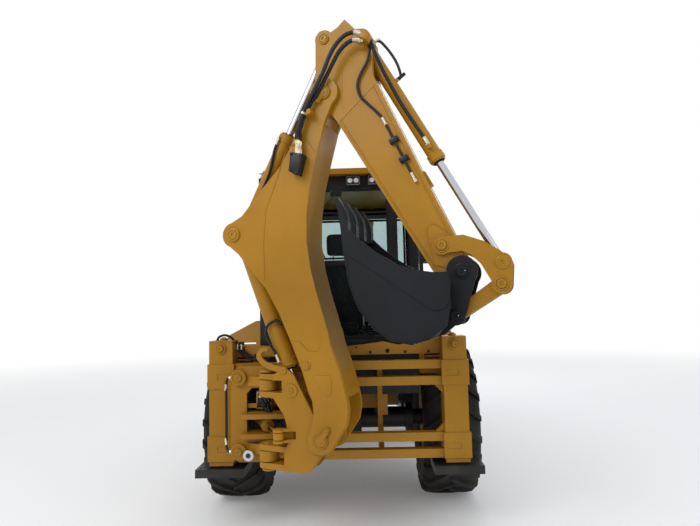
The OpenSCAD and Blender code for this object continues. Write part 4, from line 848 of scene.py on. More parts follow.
# Hoses: rubber sleeves on the routes of the solids, with swaged ends and union nuts
thickHose, thinHose, ramHose = 0.0148, 0.0098, 0.0128
hardPipe = {"from": (0.930, -0.125, 2.838), "to": (1.109, -0.125, 2.454), "r": 0.0088, "boltOut": 0.1384,
            "bolts": ((0.960, 2.721), (1.000, 2.744), (1.022, 2.588), (1.062, 2.609))}
hoseRoutes = {
    "boomHoseOuter": {"body": "boom", "r": thickHose, "metal": (0, 1), "pts": [
        (0.336, 0.213, 2.7907), (0.337, 0.213, 2.842), (0.358, 0.213, 2.907), (0.382, 0.213, 2.966),
        (0.419, 0.213, 3.037), (0.460, 0.213, 3.107), (0.524, 0.213, 3.218), (0.573, 0.213, 3.324),
        (0.621, 0.213, 3.399), (0.684, 0.213, 3.452), (0.752, 0.213, 3.463), (0.806, 0.213, 3.440)]},
    "boomHoseInner": {"body": "boom", "r": thickHose, "metal": (0, 1), "pts": [
        (0.336, 0.182, 2.7907), (0.337, 0.182, 2.842), (0.359, 0.182, 2.907), (0.384, 0.182, 2.966),
        (0.427, 0.182, 3.037), (0.475, 0.182, 3.105), (0.540, 0.182, 3.208), (0.596, 0.182, 3.305),
        (0.636, 0.182, 3.366), (0.683, 0.182, 3.407), (0.736, 0.182, 3.427), (0.790, 0.182, 3.416)]},
    "dipperHose": {"body": "dipper", "r": thinHose, "metal": (0, 1), "pts": [
        (0.813, 0.130, 3.444), (0.833, 0.128, 3.378), (0.812, 0.127, 3.292), (0.764, 0.126, 3.210),
        (0.740, 0.126, 3.139), (0.757, 0.126, 3.061), (0.806, 0.126, 3.002), (0.862, 0.126, 2.943),
        (0.900, 0.126, 2.896), (0.929, 0.125, 2.840)]},
    "ramHose": {"body": "bucket_barrel", "r": ramHose, "metal": (0, 1), "pts": [
        (0.839, 0.150, 3.424), (0.879, 0.145, 3.312), (0.920, 0.122, 3.208), (0.968, 0.098, 3.104),
        (1.010, 0.084, 3.016), (1.080, 0.076, 2.890), (1.150, 0.072, 2.772), (1.1931, 0.070, 2.6945)]},
    "ramLoop": {"body": "bucket_barrel", "r": thinHose, "metal": (1, 0), "pts": [
        (0.816, 0, 3.4747), (0.837, 0, 3.480), (0.862, 0, 3.481), (0.886, 0, 3.464), (0.936, 0, 3.396),
        (0.979, 0, 3.320), (1.004, 0, 3.249), (1.009, 0, 3.207), (0.992, 0, 3.1897)]},
    "boomRamHose": {"body": "boom_barrel", "r": thinHose, "metal": (0, 1), "pts": [
        (0.146, 0.084, 1.551), (0.098, 0.086, 1.573), (0.042, 0.086, 1.545), (0.023, 0.082, 1.486),
        (0.050, 0.079, 1.420), (0.086, 0.077, 1.361), (0.106, 0.0742, 1.316), (0.117, 0.0734, 1.288)]},
    "dipperRamHose": {"body": "dipper_barrel", "r": thinHose, "metal": (1, 0), "pts": [
        (0.138, 0.066, 2.869), (0.121, 0.0675, 2.832), (0.098, 0.070, 2.771), (0.081, 0.072, 2.695),
        (0.060, 0.072, 2.618), (0.024, 0.072, 2.540), (-0.014, 0.074, 2.460), (-0.040, 0.076, 2.398)]},
}


def swage(bm, p, forward, radius, slot=1, nut=True):
    # crimped collar over the hose's end, then a hexagon nut
    m = axisFrame(p, forward)
    r = radius
    rows = [(r * 1.02, 0.060), (r * 1.22, 0.058)]
    for k in range(4):
        rows += [(r * 1.22, 0.052 - 0.010 * k), (r * 1.12, 0.050 - 0.010 * k), (r * 1.12, 0.048 - 0.010 * k),
                 (r * 1.22, 0.046 - 0.010 * k)]
    rows += [(r * 1.22, 0.012), (r * 1.02, 0.010)]
    lathe(bm, m, rows, 20, slot)
    if nut:
        lathe(bm, m, [(r * 1.0, 0.012), (r * 1.42, 0.011), (r * 1.42, 0.0005), (r * 1.0, 0)], 6, slot)


def buildHoses():
    made = {}
    for name, spec in hoseRoutes.items():
        bm = bmesh.new()
        pts = [armPoint(s, -out, z) for s, out, z in spec["pts"]]
        path = tube(bm, pts, spec["r"], 14, 0.006, 0, 0.09)
        for index, step, slot in ((0, 2, spec["metal"][0]), (-1, -3, spec["metal"][1])):
            swage(bm, path[index], path[step] - path[index], spec["r"], slot)
        body = None if name.startswith("boomHose") else spec["body"]
        made[name] = finish(name, bm, ["hoseSleeve", "zinc"], body)
    for name in ("boomHoseOuter", "boomHoseInner"):
        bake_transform(made[name])
    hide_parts("boom_hoses")
    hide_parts("dipper_hoses")
    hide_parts("bucket_ram_hoses")
    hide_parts("boom_ram_hose")
    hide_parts("dipper_ram_hose")


def buildPipe():
    bm = bmesh.new()
    top, end = armPoint(*hardPipe["from"]), armPoint(*hardPipe["to"])
    tube(bm, [top, top.lerp(end, 0.5), end], hardPipe["r"], 14, 0.05)
    swage(bm, end, top - end, hardPipe["r"], 1)
    lathe(bm, axisFrame(end, end - top), [(0.012, -0.002), (0.012, 0.012), (0, 0.013)], 6, 1)
    finish("dipperPipe", bm, ["plastic", "zinc"], "dipper")
    spots = [[armPoint(s, -hardPipe["boltOut"], z), outward, 0.62] for s, z in hardPipe["bolts"]]
    setBolts("pipeBolts", spots, "dipper", "blackPaint")


buildHoses()
buildPipe()
print("hoses run")

# Head manifold that takes the boom's hoses, the valve block's cover and the pipe's clamps
headBlock = {"at": (0.822, 3.428), "size": (0.062, 0.050), "out": (0.108, 0.232), "turn": -0.45,
             "ports": ((0.790, 0.182, 3.418), (0.802, 0.213, 3.441))}
valveBlock = {"outline": [(0.2920, 2.7016), (0.3795, 2.6814), (0.3385, 2.5440), (0.2745, 2.5720)],
              "out": (0.1495, 0.2312),
              "bolts": ((0.296, 2.688), (0.364, 2.670), (0.288, 2.580), (0.332, 2.559))}
pipeClamps = {"at": ((0.978, 2.734), (1.040, 2.603)), "out": 0.1210, "turn": -1.1347,
              "size": (0.0356, 0.0636, 0.0344)}


def buildArmFittings():
    bm = bmesh.new()
    low, high = headBlock["out"]
    middle = armMatrix @ Matrix.Translation((*headBlock["at"], (low + high) / 2))
    turned = middle @ Matrix.Rotation(headBlock["turn"], 4, "Z")
    roundBox(bm, turned, (*headBlock["size"], high - low), 0.005)
    for s, out, z in headBlock["ports"]:
        m = axisFrame(armPoint(s, -out, z), along + Vector((0, 0, headBlock["turn"])))
        lathe(bm, m, [(0.019, 0), (0.019, 0.016), (0.014, 0.020)], 6, 1)
    finish("headBlock", bm, ["yellowPaint", "zinc"], "dipper")
    bm = bmesh.new()
    for out in (0.182, 0.213):
        m = axisFrame(armPoint(0.336, -out, 2.700), (0, 0, 1))
        lathe(bm, m, [(0.020, -0.012), (0.020, 0.026), (0.0165, 0.030), (0.0165, 0.052), (0.0195, 0.054),
                      (0.0195, 0.078), (0.0125, 0.080)], 6, 0)
        band = axisFrame(armPoint(0.3805, -out, 2.962), armPoint(0.419, 0, 3.037) - armPoint(0.358, 0, 2.907))
        lathe(bm, band, [(0.0150, -0.007), (0.0172, -0.007), (0.0172, 0.007), (0.0150, 0.007)], 24, 0)
    finish("unions", bm, ["zinc"], "boom")
    bm = bmesh.new()
    prism(bm, armMatrix, valveBlock["outline"], *valveBlock["out"], 0.002)
    finish("valveCover", bm, ["blackPaint"], "boom")
    spots = [[armPoint(s, -valveBlock["out"][1], z), outward, 0.75] for s, z in valveBlock["bolts"]]
    setBolts("valveBolts", spots, "boom", "blackPaint")
    bm = bmesh.new()
    for s, z in pipeClamps["at"]:
        spot = armMatrix @ Matrix.Translation((s, z, pipeClamps["out"]))
        roundBox(bm, spot @ Matrix.Rotation(pipeClamps["turn"], 4, "Z"), pipeClamps["size"], 0.003)
    finish("pipeClamps", bm, ["blackPaint"], "dipper")


buildArmFittings()

# Ram gland rings with their screws and wiper seals
glands = [
    {"name": "boomRam", "body": "boom_barrel", "from": (-0.183, 2.179), "to": (0.218, 1.106), "length": 0.996,
     "r": 0.070, "rod": 0.033},
    {"name": "dipperRam", "body": "dipper_barrel", "from": (-0.183, 2.179), "to": (0.500, 3.506),
     "length": 0.800, "r": 0.063, "rod": 0.029},
    {"name": "bucketRam", "body": "bucket_barrel", "from": (0.765, 3.470), "to": (1.628, 1.905),
     "length": 1.000, "r": 0.054, "rod": 0.026},
]


def buildGlands():
    for spec in glands:
        bm = bmesh.new()
        start, end = armPoint(spec["from"][0], 0, spec["from"][1]), armPoint(spec["to"][0], 0, spec["to"][1])
        m = axisFrame(start, end - start)
        top, r, rod = spec["length"], spec["r"], spec["rod"]
        lathe(bm, m, [(r - 0.004, top - 0.064), (r + 0.0015, top - 0.060), (r + 0.0015, top - 0.050),
                      (r - 0.001, top - 0.048), (r - 0.001, top - 0.036), (r + 0.0015, top - 0.034),
                      (r + 0.0015, top - 0.012), (r - 0.004, top - 0.009)], 40, 0)
        lathe(bm, m, [(rod + 0.014, top - 0.001), (rod + 0.014, top + 0.006), (rod + 0.009, top + 0.009),
                      (rod + 0.001, top + 0.010)], 36, 1)
        for k in range(6 if r > 0.06 else 0):
            a = math.pi / 3 * k + 0.3
            spot = m @ Matrix.Translation(((rod + 0.022) * math.cos(a), (rod + 0.022) * math.sin(a), top))
            lathe(bm, spot, [(0.006, -0.001), (0.006, 0.006), (0, 0.006)], 6, 2)
        finish(spec["name"] + "Gland", bm, ["yellowPaint", "softRubber", "zinc"], spec["body"])


buildGlands()

# Painted eyes at the rods' ends
rodEyes = [
    {"body": "boom_rod", "at": armPoint(0.218, 0, 1.106), "axis": outward, "r": 0.050, "half": 0.038},
    {"body": "dipper_rod", "at": armPoint(0.500, 0, 3.506), "axis": outward, "r": 0.044, "half": 0.036},
    {"body": "bucket_rod", "at": armPoint(1.628, 0, 1.905), "axis": outward, "r": 0.044, "half": 0.036},
    {"body": "swing_rod_left", "at": armPoint(0.140, -0.150, 0.812), "axis": (0, 0, 1), "r": 0.034,
     "half": 0.022},
    {"body": "swing_rod_right", "at": armPoint(0.140, 0.150, 0.955), "axis": (0, 0, 1), "r": 0.034,
     "half": 0.022},
    {"body": "lift_rods", "at": place(0.470, 3.330, 1.090), "axis": (1, 0, 0), "r": 0.044, "half": 0.023},
    {"body": "tilt_rods", "at": place(0.470, 3.4043, 1.4021), "axis": (1, 0, 0), "r": 0.038, "half": 0.026},
]


def buildRodEyes():
    for spec in rodEyes:
        bm = bmesh.new()
        r, h = spec["r"] + 0.0012, spec["half"] + 0.0010
        places = [spec["at"]]
        if spec["body"] in ("lift_rods", "tilt_rods"):
            places.append(Vector((-spec["at"].x, spec["at"].y, spec["at"].z)))
        for at in places:
            profile = [(r - 0.014, -h), (r - 0.0015, -h), (r, -h + 0.0015), (r, h - 0.0015), (r - 0.0015, h),
                       (r - 0.014, h)]
            lathe(bm, axisFrame(at, spec["axis"]), profile, 36, 0, closed=True)
        finish(spec["body"] + "Eye", bm, ["yellowPaint"], spec["body"])


buildRodEyes()

# Kingpost: swing axis caps, gusset beads, hook eye and the swing cylinders' pin heads
kingpost = {"top": 1.220, "foot": 0.560, "pinReach": (0.140, 0.150), "pinZ": {"left": 0.812, "right": 0.955}}


def buildKingpost():
    bm = bmesh.new()
    pivot = axisFrame(armPoint(0, 0, kingpost["top"]), (0, 0, 1))
    lathe(bm, pivot, [(0.060, -0.002), (0.060, 0.010), (0.056, 0.014), (0.020, 0.014), (0.016, 0.008),
                      (0, 0.008)], 36, 0)
    for k in range(3):
        a = 2.1 * k
        spot = pivot @ Matrix.Translation((0.040 * math.cos(a), 0.040 * math.sin(a), 0.014))
        lathe(bm, spot, [(0.010, 0), (0.010, 0.007), (0, 0.008)], 6, 1)
    lower = axisFrame(armPoint(0, 0, kingpost["foot"]), (0, 0, -1))
    lathe(bm, lower, [(0.048, -0.002), (0.048, 0.010), (0.044, 0.013), (0, 0.013)], 32, 0)
    for side in (-1, 1):
        inner = [(0.165, 0.600), (0.165, 0.700), (0.195, 0.758), (0.183, 0.875)]
        for corners in (inner[:3] if side < 0 else inner, [(0.345, 0.590), (0.432, 0.694), (0.512, 0.762)]):
            bead(bm, straightRun([armPoint(s, side * 0.1085, z) for s, z in corners]))
    hookEye = armMatrix @ Matrix.Translation((0.166, 1.238, 0))
    lathe(bm, hookEye, [(0.022, 0.107), (0.022, 0.1175), (0.020, 0.119), (0.009, 0.119), (0.008, 0.117),
                        (0, 0.117)], 28, 1)
    boss = armMatrix @ Matrix.Translation((0.216, 1.106, 0))
    lathe(bm, boss, [(0.020, 0.106), (0.020, 0.121), (0.018, 0.123), (0.009, 0.123), (0.008, 0.1205),
                     (0, 0.1205)], 28, 0)
    finish("kingpostTrim", bm, ["yellowPaint", "yellowPaint"], "kingpost")
    for side, word in ((-1, "left"), (1, "right")):
        bm = bmesh.new()
        reach, apart = kingpost["pinReach"]
        lug = axisFrame(armPoint(reach, side * apart, kingpost["pinZ"][word] + 0.045), (0, 0, 1))
        lathe(bm, lug, [(0.026, -0.001), (0.026, 0.0025), (0.0245, 0.0035), (0, 0.0035)], 28, 0)
        finish("swingPin_" + word, bm, ["yellowPaint"], "kingpost")


buildKingpost()

# Digging bucket's tooth caps and wear strips
digger = {"half": 0.310, "teeth": 4, "strips": (-0.20, -0.07, 0.07, 0.20)}


def buildBucketTrim():
    bm = bmesh.new()
    for i in range(digger["teeth"]):
        y = -digger["half"] + 0.032 + i * (2 * digger["half"] - 0.064) / (digger["teeth"] - 1)
        m = armMatrix @ Matrix.Translation((0, 0, y))
        prism(bm, m, [(0.632, 2.349), (0.640, 2.352), (0.693, 2.262), (0.706, 2.205), (0.694, 2.180),
                      (0.668, 2.196), (0.648, 2.228)], -0.0265, 0.0265, 0.006)
        for s in (-1, 1):
            cap = m @ Matrix.Translation((0.682, 2.212, s * 0.0265))
            if s < 0:
                cap = cap @ Matrix.Rotation(math.pi, 4, "X")
            lathe(bm, cap, [(0.009, -0.001), (0.009, 0.004), (0, 0.005)], 10, 1)
    finish("toothCaps", bm, ["bucketBlack", "steel"], "digging_bucket")
    bm = bmesh.new()
    for y in digger["strips"]:
        m = armMatrix @ Matrix.Translation((0, 0, y))
        prism(bm, m, [(0.700, 1.800), (0.760, 1.640), (0.850, 1.520), (0.960, 1.440), (1.080, 1.420),
                      (1.079, 1.412), (0.956, 1.432), (0.844, 1.513), (0.753, 1.635), (0.692, 1.798)],
              -0.02, 0.02, 0.001)
    finish("wearStrips", bm, ["bucketBlack"], "digging_bucket")


buildBucketTrim()
print("arm dressed")

# Rear frame: rings on the post bosses, caps, ports and the fittings between the rails
frameTrim = {"postX": 0.879, "bossZ": 1.368, "railZ": (1.1575, 0.6245), "carriageX": -0.470, "clampX": 0.255}


def buildRearFrame():
    bm = bmesh.new()
    for side in (-1, 1):
        boss = axisFrame(place(side * frameTrim["postX"], -0.010, frameTrim["bossZ"]), (0, -1, 0))
        lathe(bm, boss, [(0.041, -0.001), (0.041, 0.004), (0.038, 0.006), (0.032, 0.006), (0.030, 0.003),
                         (0.0255, 0.003)], 36, 0)
        lathe(bm, boss, [(0.0245, 0.0), (0.0245, 0.022), (0.022, 0.025), (0.010, 0.025), (0.009, 0.021),
                         (0, 0.021)], 28, 1)
        for z in (1.065, 1.250, 0.532, 0.717):
            bead(bm, straightRun([tuple(place(side * 0.790, -0.0005, z)),
                                  tuple(place(side * 0.966, -0.0005, z))]))
        for z in (0.500, 1.424):
            inside = z - 0.004 if z > 1 else z + 0.004
            bead(bm, straightRun([tuple(place(side * 0.794, -0.0005, inside)),
                                  tuple(place(side * 0.964, -0.0005, inside))]))
        cap = axisFrame(place(side * frameTrim["postX"], 0.095, 1.424), (0, 0, 1))
        lathe(bm, cap, [(0.030, -0.001), (0.030, 0.012), (0.026, 0.016), (0.018, 0.016), (0.018, 0.024),
                        (0, 0.024)], 24, 1)
    finish("postTrim", bm, ["yellowPaint", "yellowPaint"], "chassis")
    spots = []
    for x in (-0.640, -0.330, 0.250, 0.520, 0.700):
        spots.append([place(x, 0.149, 1.305), Vector((0, -1, 0)), 0.7])
    setBolts("frameBolts", spots, "chassis", "blackPaint")


carriageRuns = [
    [(-0.566, -0.044, 0.984), (-0.546, -0.060, 0.962), (-0.520, -0.066, 0.925), (-0.484, -0.068, 0.884),
     (-0.412, -0.064, 0.836)],
    [(-0.552, -0.044, 1.006), (-0.534, -0.058, 0.985), (-0.516, -0.064, 0.948), (-0.490, -0.066, 0.896),
     (-0.385, -0.060, 0.846)],
    [(-0.560, -0.044, 0.955), (-0.532, -0.058, 0.922), (-0.488, -0.064, 0.870), (-0.435, -0.060, 0.818)],
    [(-0.530, -0.044, 1.020), (-0.519, -0.052, 1.000), (-0.508, -0.056, 0.950), (-0.486, -0.054, 0.892),
     (-0.390, -0.052, 0.872)],
]


def buildCarriage():
    bm = bmesh.new()
    for side in (-1, 1):
        for z in frameTrim["railZ"]:
            m = axisFrame(place(frameTrim["carriageX"] + side * frameTrim["clampX"], -0.100, z), (0, -1, 0))
            lathe(bm, m, [(0.0575, -0.003), (0.0575, 0.003), (0.054, 0.006), (0.044, 0.006), (0.042, 0.002),
                          (0.0265, 0.002)], 40, 0)
            lathe(bm, m, [(0.0262, 0.0), (0.0262, 0.013), (0.023, 0.016), (0.011, 0.016), (0.010, 0.0115),
                          (0, 0.0115)], 6, 1)
            back = axisFrame(place(frameTrim["carriageX"] + side * frameTrim["clampX"], 0.139, z), (0, 1, 0))
            lathe(bm, back, [(0.040, 0), (0.040, 0.004), (0.024, 0.006), (0.024, 0.020), (0, 0.020)], 6, 1)
    finish("clampTrim", bm, ["yellowPaint", "yellowPaint"], "carriage")
    bm = bmesh.new()
    x0 = frameTrim["carriageX"] - frameTrim["clampX"] - 0.0573
    route = [(x0, -0.086, 1.1575), (x0 - 0.022, -0.084, 1.1515), (x0 - 0.038, -0.072, 1.1175),
             (x0 - 0.042, -0.060, 1.0475), (x0 - 0.042, -0.058, 0.890), (x0 - 0.042, -0.060, 0.7345),
             (x0 - 0.038, -0.072, 0.6645), (x0 - 0.022, -0.084, 0.6305), (x0, -0.086, 0.6245)]
    path = tube(bm, [place(*p) for p in route], thinHose, 14, 0.006, 0, 0.09)
    for index, step in ((0, 2), (-1, -3)):
        lathe(bm, axisFrame(path[index], path[step] - path[index]),
              [(0.0105, 0), (0.0145, 0.001), (0.0145, 0.014), (0.0105, 0.016)], 6, 1)
    for index, step in ((10, 12), (-11, -13)):
        swage(bm, path[index], path[step] - path[index], thinHose, 1, False)
    hose = finish("carriageHose", bm, ["hoseSleeve", "zinc"], "carriage")
    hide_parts("carriage_hose")
    bm = bmesh.new()
    block = axisFrame(place(-0.549, -0.028, 0.984), (0, -1, 0))
    roundBox(bm, block @ Matrix.Translation((0, 0, 0.004)), (0.104, 0.110, 0.014), 0.003, 1)
    for x, z in ((-0.578, 1.012), (-0.532, 0.930)):
        m = axisFrame(place(x, -0.038, z), (0, -1, 0))
        lathe(bm, m, [(0.011, 0), (0.011, 0.008), (0.007, 0.009), (0.007, 0.013), (0, 0.013)], 6, 1)
    for points in carriageRuns:
        path = tube(bm, [place(*p) for p in points], 0.0115, 12, 0.006, 0, 0.06)
        swage(bm, path[0], path[2] - path[0], 0.0115, 0)
    stub = axisFrame(place(-0.648, -0.070, 0.607), (0, -1, 0))
    lathe(bm, stub, [(0.030, -0.004), (0.030, 0.050), (0.039, 0.052), (0.041, 0.056), (0.041, 0.066),
                     (0.038, 0.070), (0.018, 0.070), (0.016, 0.058)], 40, 3)
    lathe(bm, stub, [(0.016, 0.058), (0, 0.058)], 40, 2)
    finish("carriageBlock", bm, ["hoseSleeve", "zinc", "castIron", "chrome"], "carriage")
    bm = bmesh.new()
    bundles = [
        [(-0.781, 0.135, 1.405), (-0.778, 0.128, 1.372), (-0.754, 0.120, 1.328), (-0.698, 0.118, 1.281),
         (-0.615, 0.120, 1.266), (-0.540, 0.124, 1.264)],
        [(-0.752, 0.138, 1.405), (-0.748, 0.130, 1.372), (-0.722, 0.124, 1.332), (-0.670, 0.122, 1.296),
         (-0.600, 0.124, 1.284), (-0.520, 0.128, 1.280)],
        [(-0.934, 0.110, 1.418), (-0.930, 0.110, 1.434), (-0.917, 0.110, 1.452), (-0.885, 0.110, 1.463),
         (-0.853, 0.110, 1.459), (-0.821, 0.113, 1.441), (-0.802, 0.118, 1.418), (-0.778, 0.124, 1.396)],
    ]
    for points in bundles:
        path = tube(bm, [place(*p) for p in points], 0.0095, 12, 0.006, 0, 0.06)
        if points[0][0] > -0.9:
            swage(bm, path[0], path[2] - path[0], 0.0095, 1)
    roundBox(bm, axisFrame(place(-0.766, 0.138, 1.395), (0, -1, 0)), (0.070, 0.028, 0.030), 0.003, 2)
    finish("frameHoses", bm, ["hoseSleeve", "zinc", "plastic"], "chassis")
    for side, word in ((-1, "left"), (1, "right")):
        bm = bmesh.new()
        for x in (0.730, 0.795, 0.965, 1.030):
            bead(bm, straightRun([tuple(place(side * x, -0.050, 0.4905)),
                                  tuple(place(side * x, 0.016, 0.4905))]))
        m = Matrix.Translation(place(side * 0.879, 0.095, 0.4945))
        roundBox(bm, m, (0.170, 0.176, 0.008), 0.002)
        finish("padTrim_" + word, bm, ["blackPaint"], "stabiliser_" + word)


buildRearFrame()
buildCarriage()
print("frame dressed")

# Cab: lamps, mirrors, seals, wipers and handles
cabTrim = {"rearLamps": (-0.325, -0.146, 0.146, 0.325), "frontLamps": (-0.560, -0.330, 0.330, 0.560),
           "lampZ": 2.6985, "rearY": 0.296, "frontY": 1.984}


def framePlate(bm, matrix, wide, tall, rail, thick, slot=0):
    # flat rectangular frame of four bars, in the matrix's x and y
    for x, y, w, h in ((0, tall / 2 - rail / 2, wide, rail), (0, -tall / 2 + rail / 2, wide, rail),
                       (wide / 2 - rail / 2, 0, rail, tall - 2 * rail),
                       (-wide / 2 + rail / 2, 0, rail, tall - 2 * rail)):
        roundBox(bm, matrix @ Matrix.Translation((x, y, 0)), (w, h, thick), 0.002, slot)


def buildLamps():
    bm = bmesh.new()
    for y, facing, xs in ((cabTrim["rearY"], -1, cabTrim["rearLamps"]),
                          (cabTrim["frontY"], 1, cabTrim["frontLamps"])):
        for x in xs:
            m = axisFrame(place(x, y, cabTrim["lampZ"]), (0, facing, 0))
            framePlate(bm, m, 0.122, 0.090, 0.009, 0.008, 0)
            roundBox(bm, m @ Matrix.Translation((0, 0, -0.004)), (0.102, 0.070, 0.006), 0.002, 1)
            for k in (-1, 1):
                lathe(bm, m @ Matrix.Translation((k * 0.025, 0, -0.002)),
                      [(0.021, 0), (0.019, 0.003), (0.008, 0.0045), (0, 0.0048)], 20, 1)
    finish("workLamps", bm, ["plastic", "clearLens"], "chassis")
    bm = bmesh.new()
    for side in (-1, 1):
        m = axisFrame(place(side * 0.9075, 2.023, 2.280), (0, -1, 0))
        roundBox(bm, m, (0.170, 0.295, 0.052), 0.014, 0)
        roundBox(bm, m @ Matrix.Translation((0, 0, 0.025)), (0.146, 0.268, 0.006), 0.002, 1)
        for z in (1.42, 1.36):
            lathe(bm, axisFrame(place(side * 0.690, 1.950, z), (0, 1, 0)),
                  [(0.040, 0), (0.040, 0.020), (0.034, 0.026), (0, 0.028)], 24, 2 if z > 1.4 else 3)
    finish("mirrors", bm, ["plastic", "chrome", "clearLens", "amberLens"], "chassis")
    bm = bmesh.new()
    for side in (-1, 1):
        for z, slot in ((1.300, 1), (1.345, 2)):
            m = axisFrame(place(side * 0.735, 0.209, z - 0.06), (0, -1, 0))
            roundBox(bm, m, (0.130, 0.036, 0.010), 0.003, slot)
    finish("tailLamps", bm, ["plastic", "redLens", "amberLens"], "chassis")


# Wipers: arm and blade behind, then arm and blade in front
wipers = [
    (0.005, ((0, 0.314, 2.590), (-0.12, 0.312, 2.47), (-0.24, 0.315, 2.35))),
    (0.006, ((-0.17, 0.330, 2.48), (-0.24, 0.330, 2.35), (-0.31, 0.330, 2.22))),
    (0.006, ((0.10, 1.976, 1.640), (-0.05, 1.968, 1.88), (-0.15, 1.962, 2.08))),
    (0.006, ((-0.02, 1.945, 1.80), (-0.15, 1.945, 2.08), (-0.27, 1.945, 2.34))),
]


def buildWindows():
    bm = bmesh.new()
    back = axisFrame(place(0, 0.340, 2.020), (0, -1, 0))
    framePlate(bm, back, 0.866, 1.236, 0.022, 0.018, 0)
    for z in (2.010, 2.060, 2.385, 2.435):
        roundBox(bm, axisFrame(place(0, 0.334, z), (0, -1, 0)), (0.84, 0.016, 0.014), 0.003, 0)
    for x in (-0.20, 0.20):
        roundBox(bm, axisFrame(place(x, 0.318, 2.036), (0, -1, 0)), (0.05, 0.020, 0.022), 0.005, 0)
    for side in (-1, 1):
        framePlate(bm, axisFrame(place(side * 0.542, 0.343, 2.120), (0, -1, 0)), 0.108, 1.024, 0.012, 0.010)
    framePlate(bm, axisFrame(place(0, 1.929, 2.110), (0, 1, 0)), 1.352, 1.030, 0.022, 0.016, 0)
    m = axisFrame(place(0, 0.333, 2.600), (0, -1, 0))
    roundBox(bm, m, (0.10, 0.05, 0.03), 0.008, 1)
    m = axisFrame(place(0.10, 1.963, 1.640), (0, 1, 0))
    roundBox(bm, m, (0.12, 0.06, 0.03), 0.008, 1)
    for r, line in wipers:
        tube(bm, [place(*p) for p in line], r, 10, 0.03, 1)
    finish("windowTrim", bm, ["softRubber", "plastic"], "chassis")
    for side, word in ((-1, "left"), (1, "right")):
        bm = bmesh.new()
        m = axisFrame(place(side * 0.779, 1.180, 1.760), (side, 0, 0))
        roundBox(bm, m, (0.036, 0.150, 0.014), 0.006, 0)
        roundBox(bm, m @ Matrix.Translation((0, 0, 0.018)), (0.022, 0.110, 0.014), 0.006, 0)
        lathe(bm, m @ Matrix.Translation((0, -0.055, 0.008)), [(0.010, 0), (0.010, 0.004), (0, 0.005)], 16, 1)
        finish("doorHandle_" + word, bm, ["plastic", "zinc"], "door_" + word)


# Seat: three padded covers on a suspension base
seatPads = {
    "seatCushion": {"at": (0, 1.110, 1.415), "tilt": 0, "size": (0.460, 0.480, 0.105), "channels": 4},
    "seatBack": {"at": (0, 0.872, 1.790), "tilt": -82, "size": (0.440, 0.620, 0.090), "channels": 5},
    "seatHead": {"at": (0, 0.862, 2.230), "tilt": -86, "size": (0.240, 0.200, 0.066), "channels": 0},
}
cover = {"square": 0.34, "pressure": 4.0, "tension": 40, "bending": 2.0, "frames": 20, "most": 0.010}


def pad(bm, matrix, size, channels):
    # pillow: a sphere squared up to the size, with stitched channels across it
    rows, cols, square = 34, 48, cover["square"]
    rings = []
    for i in range(rows + 1):
        v = math.pi * (i / rows - 0.5)
        ring = []
        for j in range(cols):
            u = 2 * math.pi * j / cols
            c = math.copysign(abs(math.cos(v)) ** square, math.cos(v))
            x = c * math.copysign(abs(math.cos(u)) ** square, math.cos(u))
            y = c * math.copysign(abs(math.sin(u)) ** square, math.sin(u))
            z = math.copysign(abs(math.sin(v)) ** (square * 1.5), math.sin(v))
            dip = 1.0
            if channels and z > 0.3:
                dip = 1 - 0.10 * math.exp(-((math.sin(math.pi * channels * (y + 1) / 2)) ** 2) / 0.02)
            ring.append(bm.verts.new(matrix @ Vector((x * size[0] / 2, y * size[1] / 2,
                                                      z * size[2] / 2 * dip))))
        rings.append(ring)
    for a, b in zip(rings, rings[1:]):
        for j in range(cols):
            bm.faces.new((a[j], a[(j + 1) % cols], b[(j + 1) % cols], b[j]))
    bm.faces.new(list(reversed(rings[0])))
    bm.faces.new(rings[-1])


def soften(obj):
    # cloth pass: inflates the cover a little and lets it wrinkle, its movement capped
    rest = [v.co.copy() for v in obj.data.vertices]
    cloth = obj.modifiers.new("cover", "CLOTH")
    cloth.settings.use_pressure = True
    cloth.settings.uniform_pressure_force = cover["pressure"]
    cloth.settings.effector_weights.gravity = 0.0
    cloth.settings.tension_stiffness = cover["tension"]
    cloth.settings.bending_stiffness = cover["bending"]
    cloth.point_cache.frame_start = 1
    cloth.point_cache.frame_end = cover["frames"]
    for at in range(1, cover["frames"] + 1):
        scene.frame_set(at)
        bpy.context.view_layer.update()
    shaped = obj.evaluated_get(bpy.context.evaluated_depsgraph_get())
    moved = [v.co.copy() for v in shaped.data.vertices]
    obj.modifiers.remove(cloth)
    scene.frame_set(1)
    for v, a, b in zip(obj.data.vertices, rest, moved):
        shift = b - a
        if shift.length > cover["most"]:
            shift = shift.normalized() * cover["most"]
        v.co = a + shift
    obj.data.update()


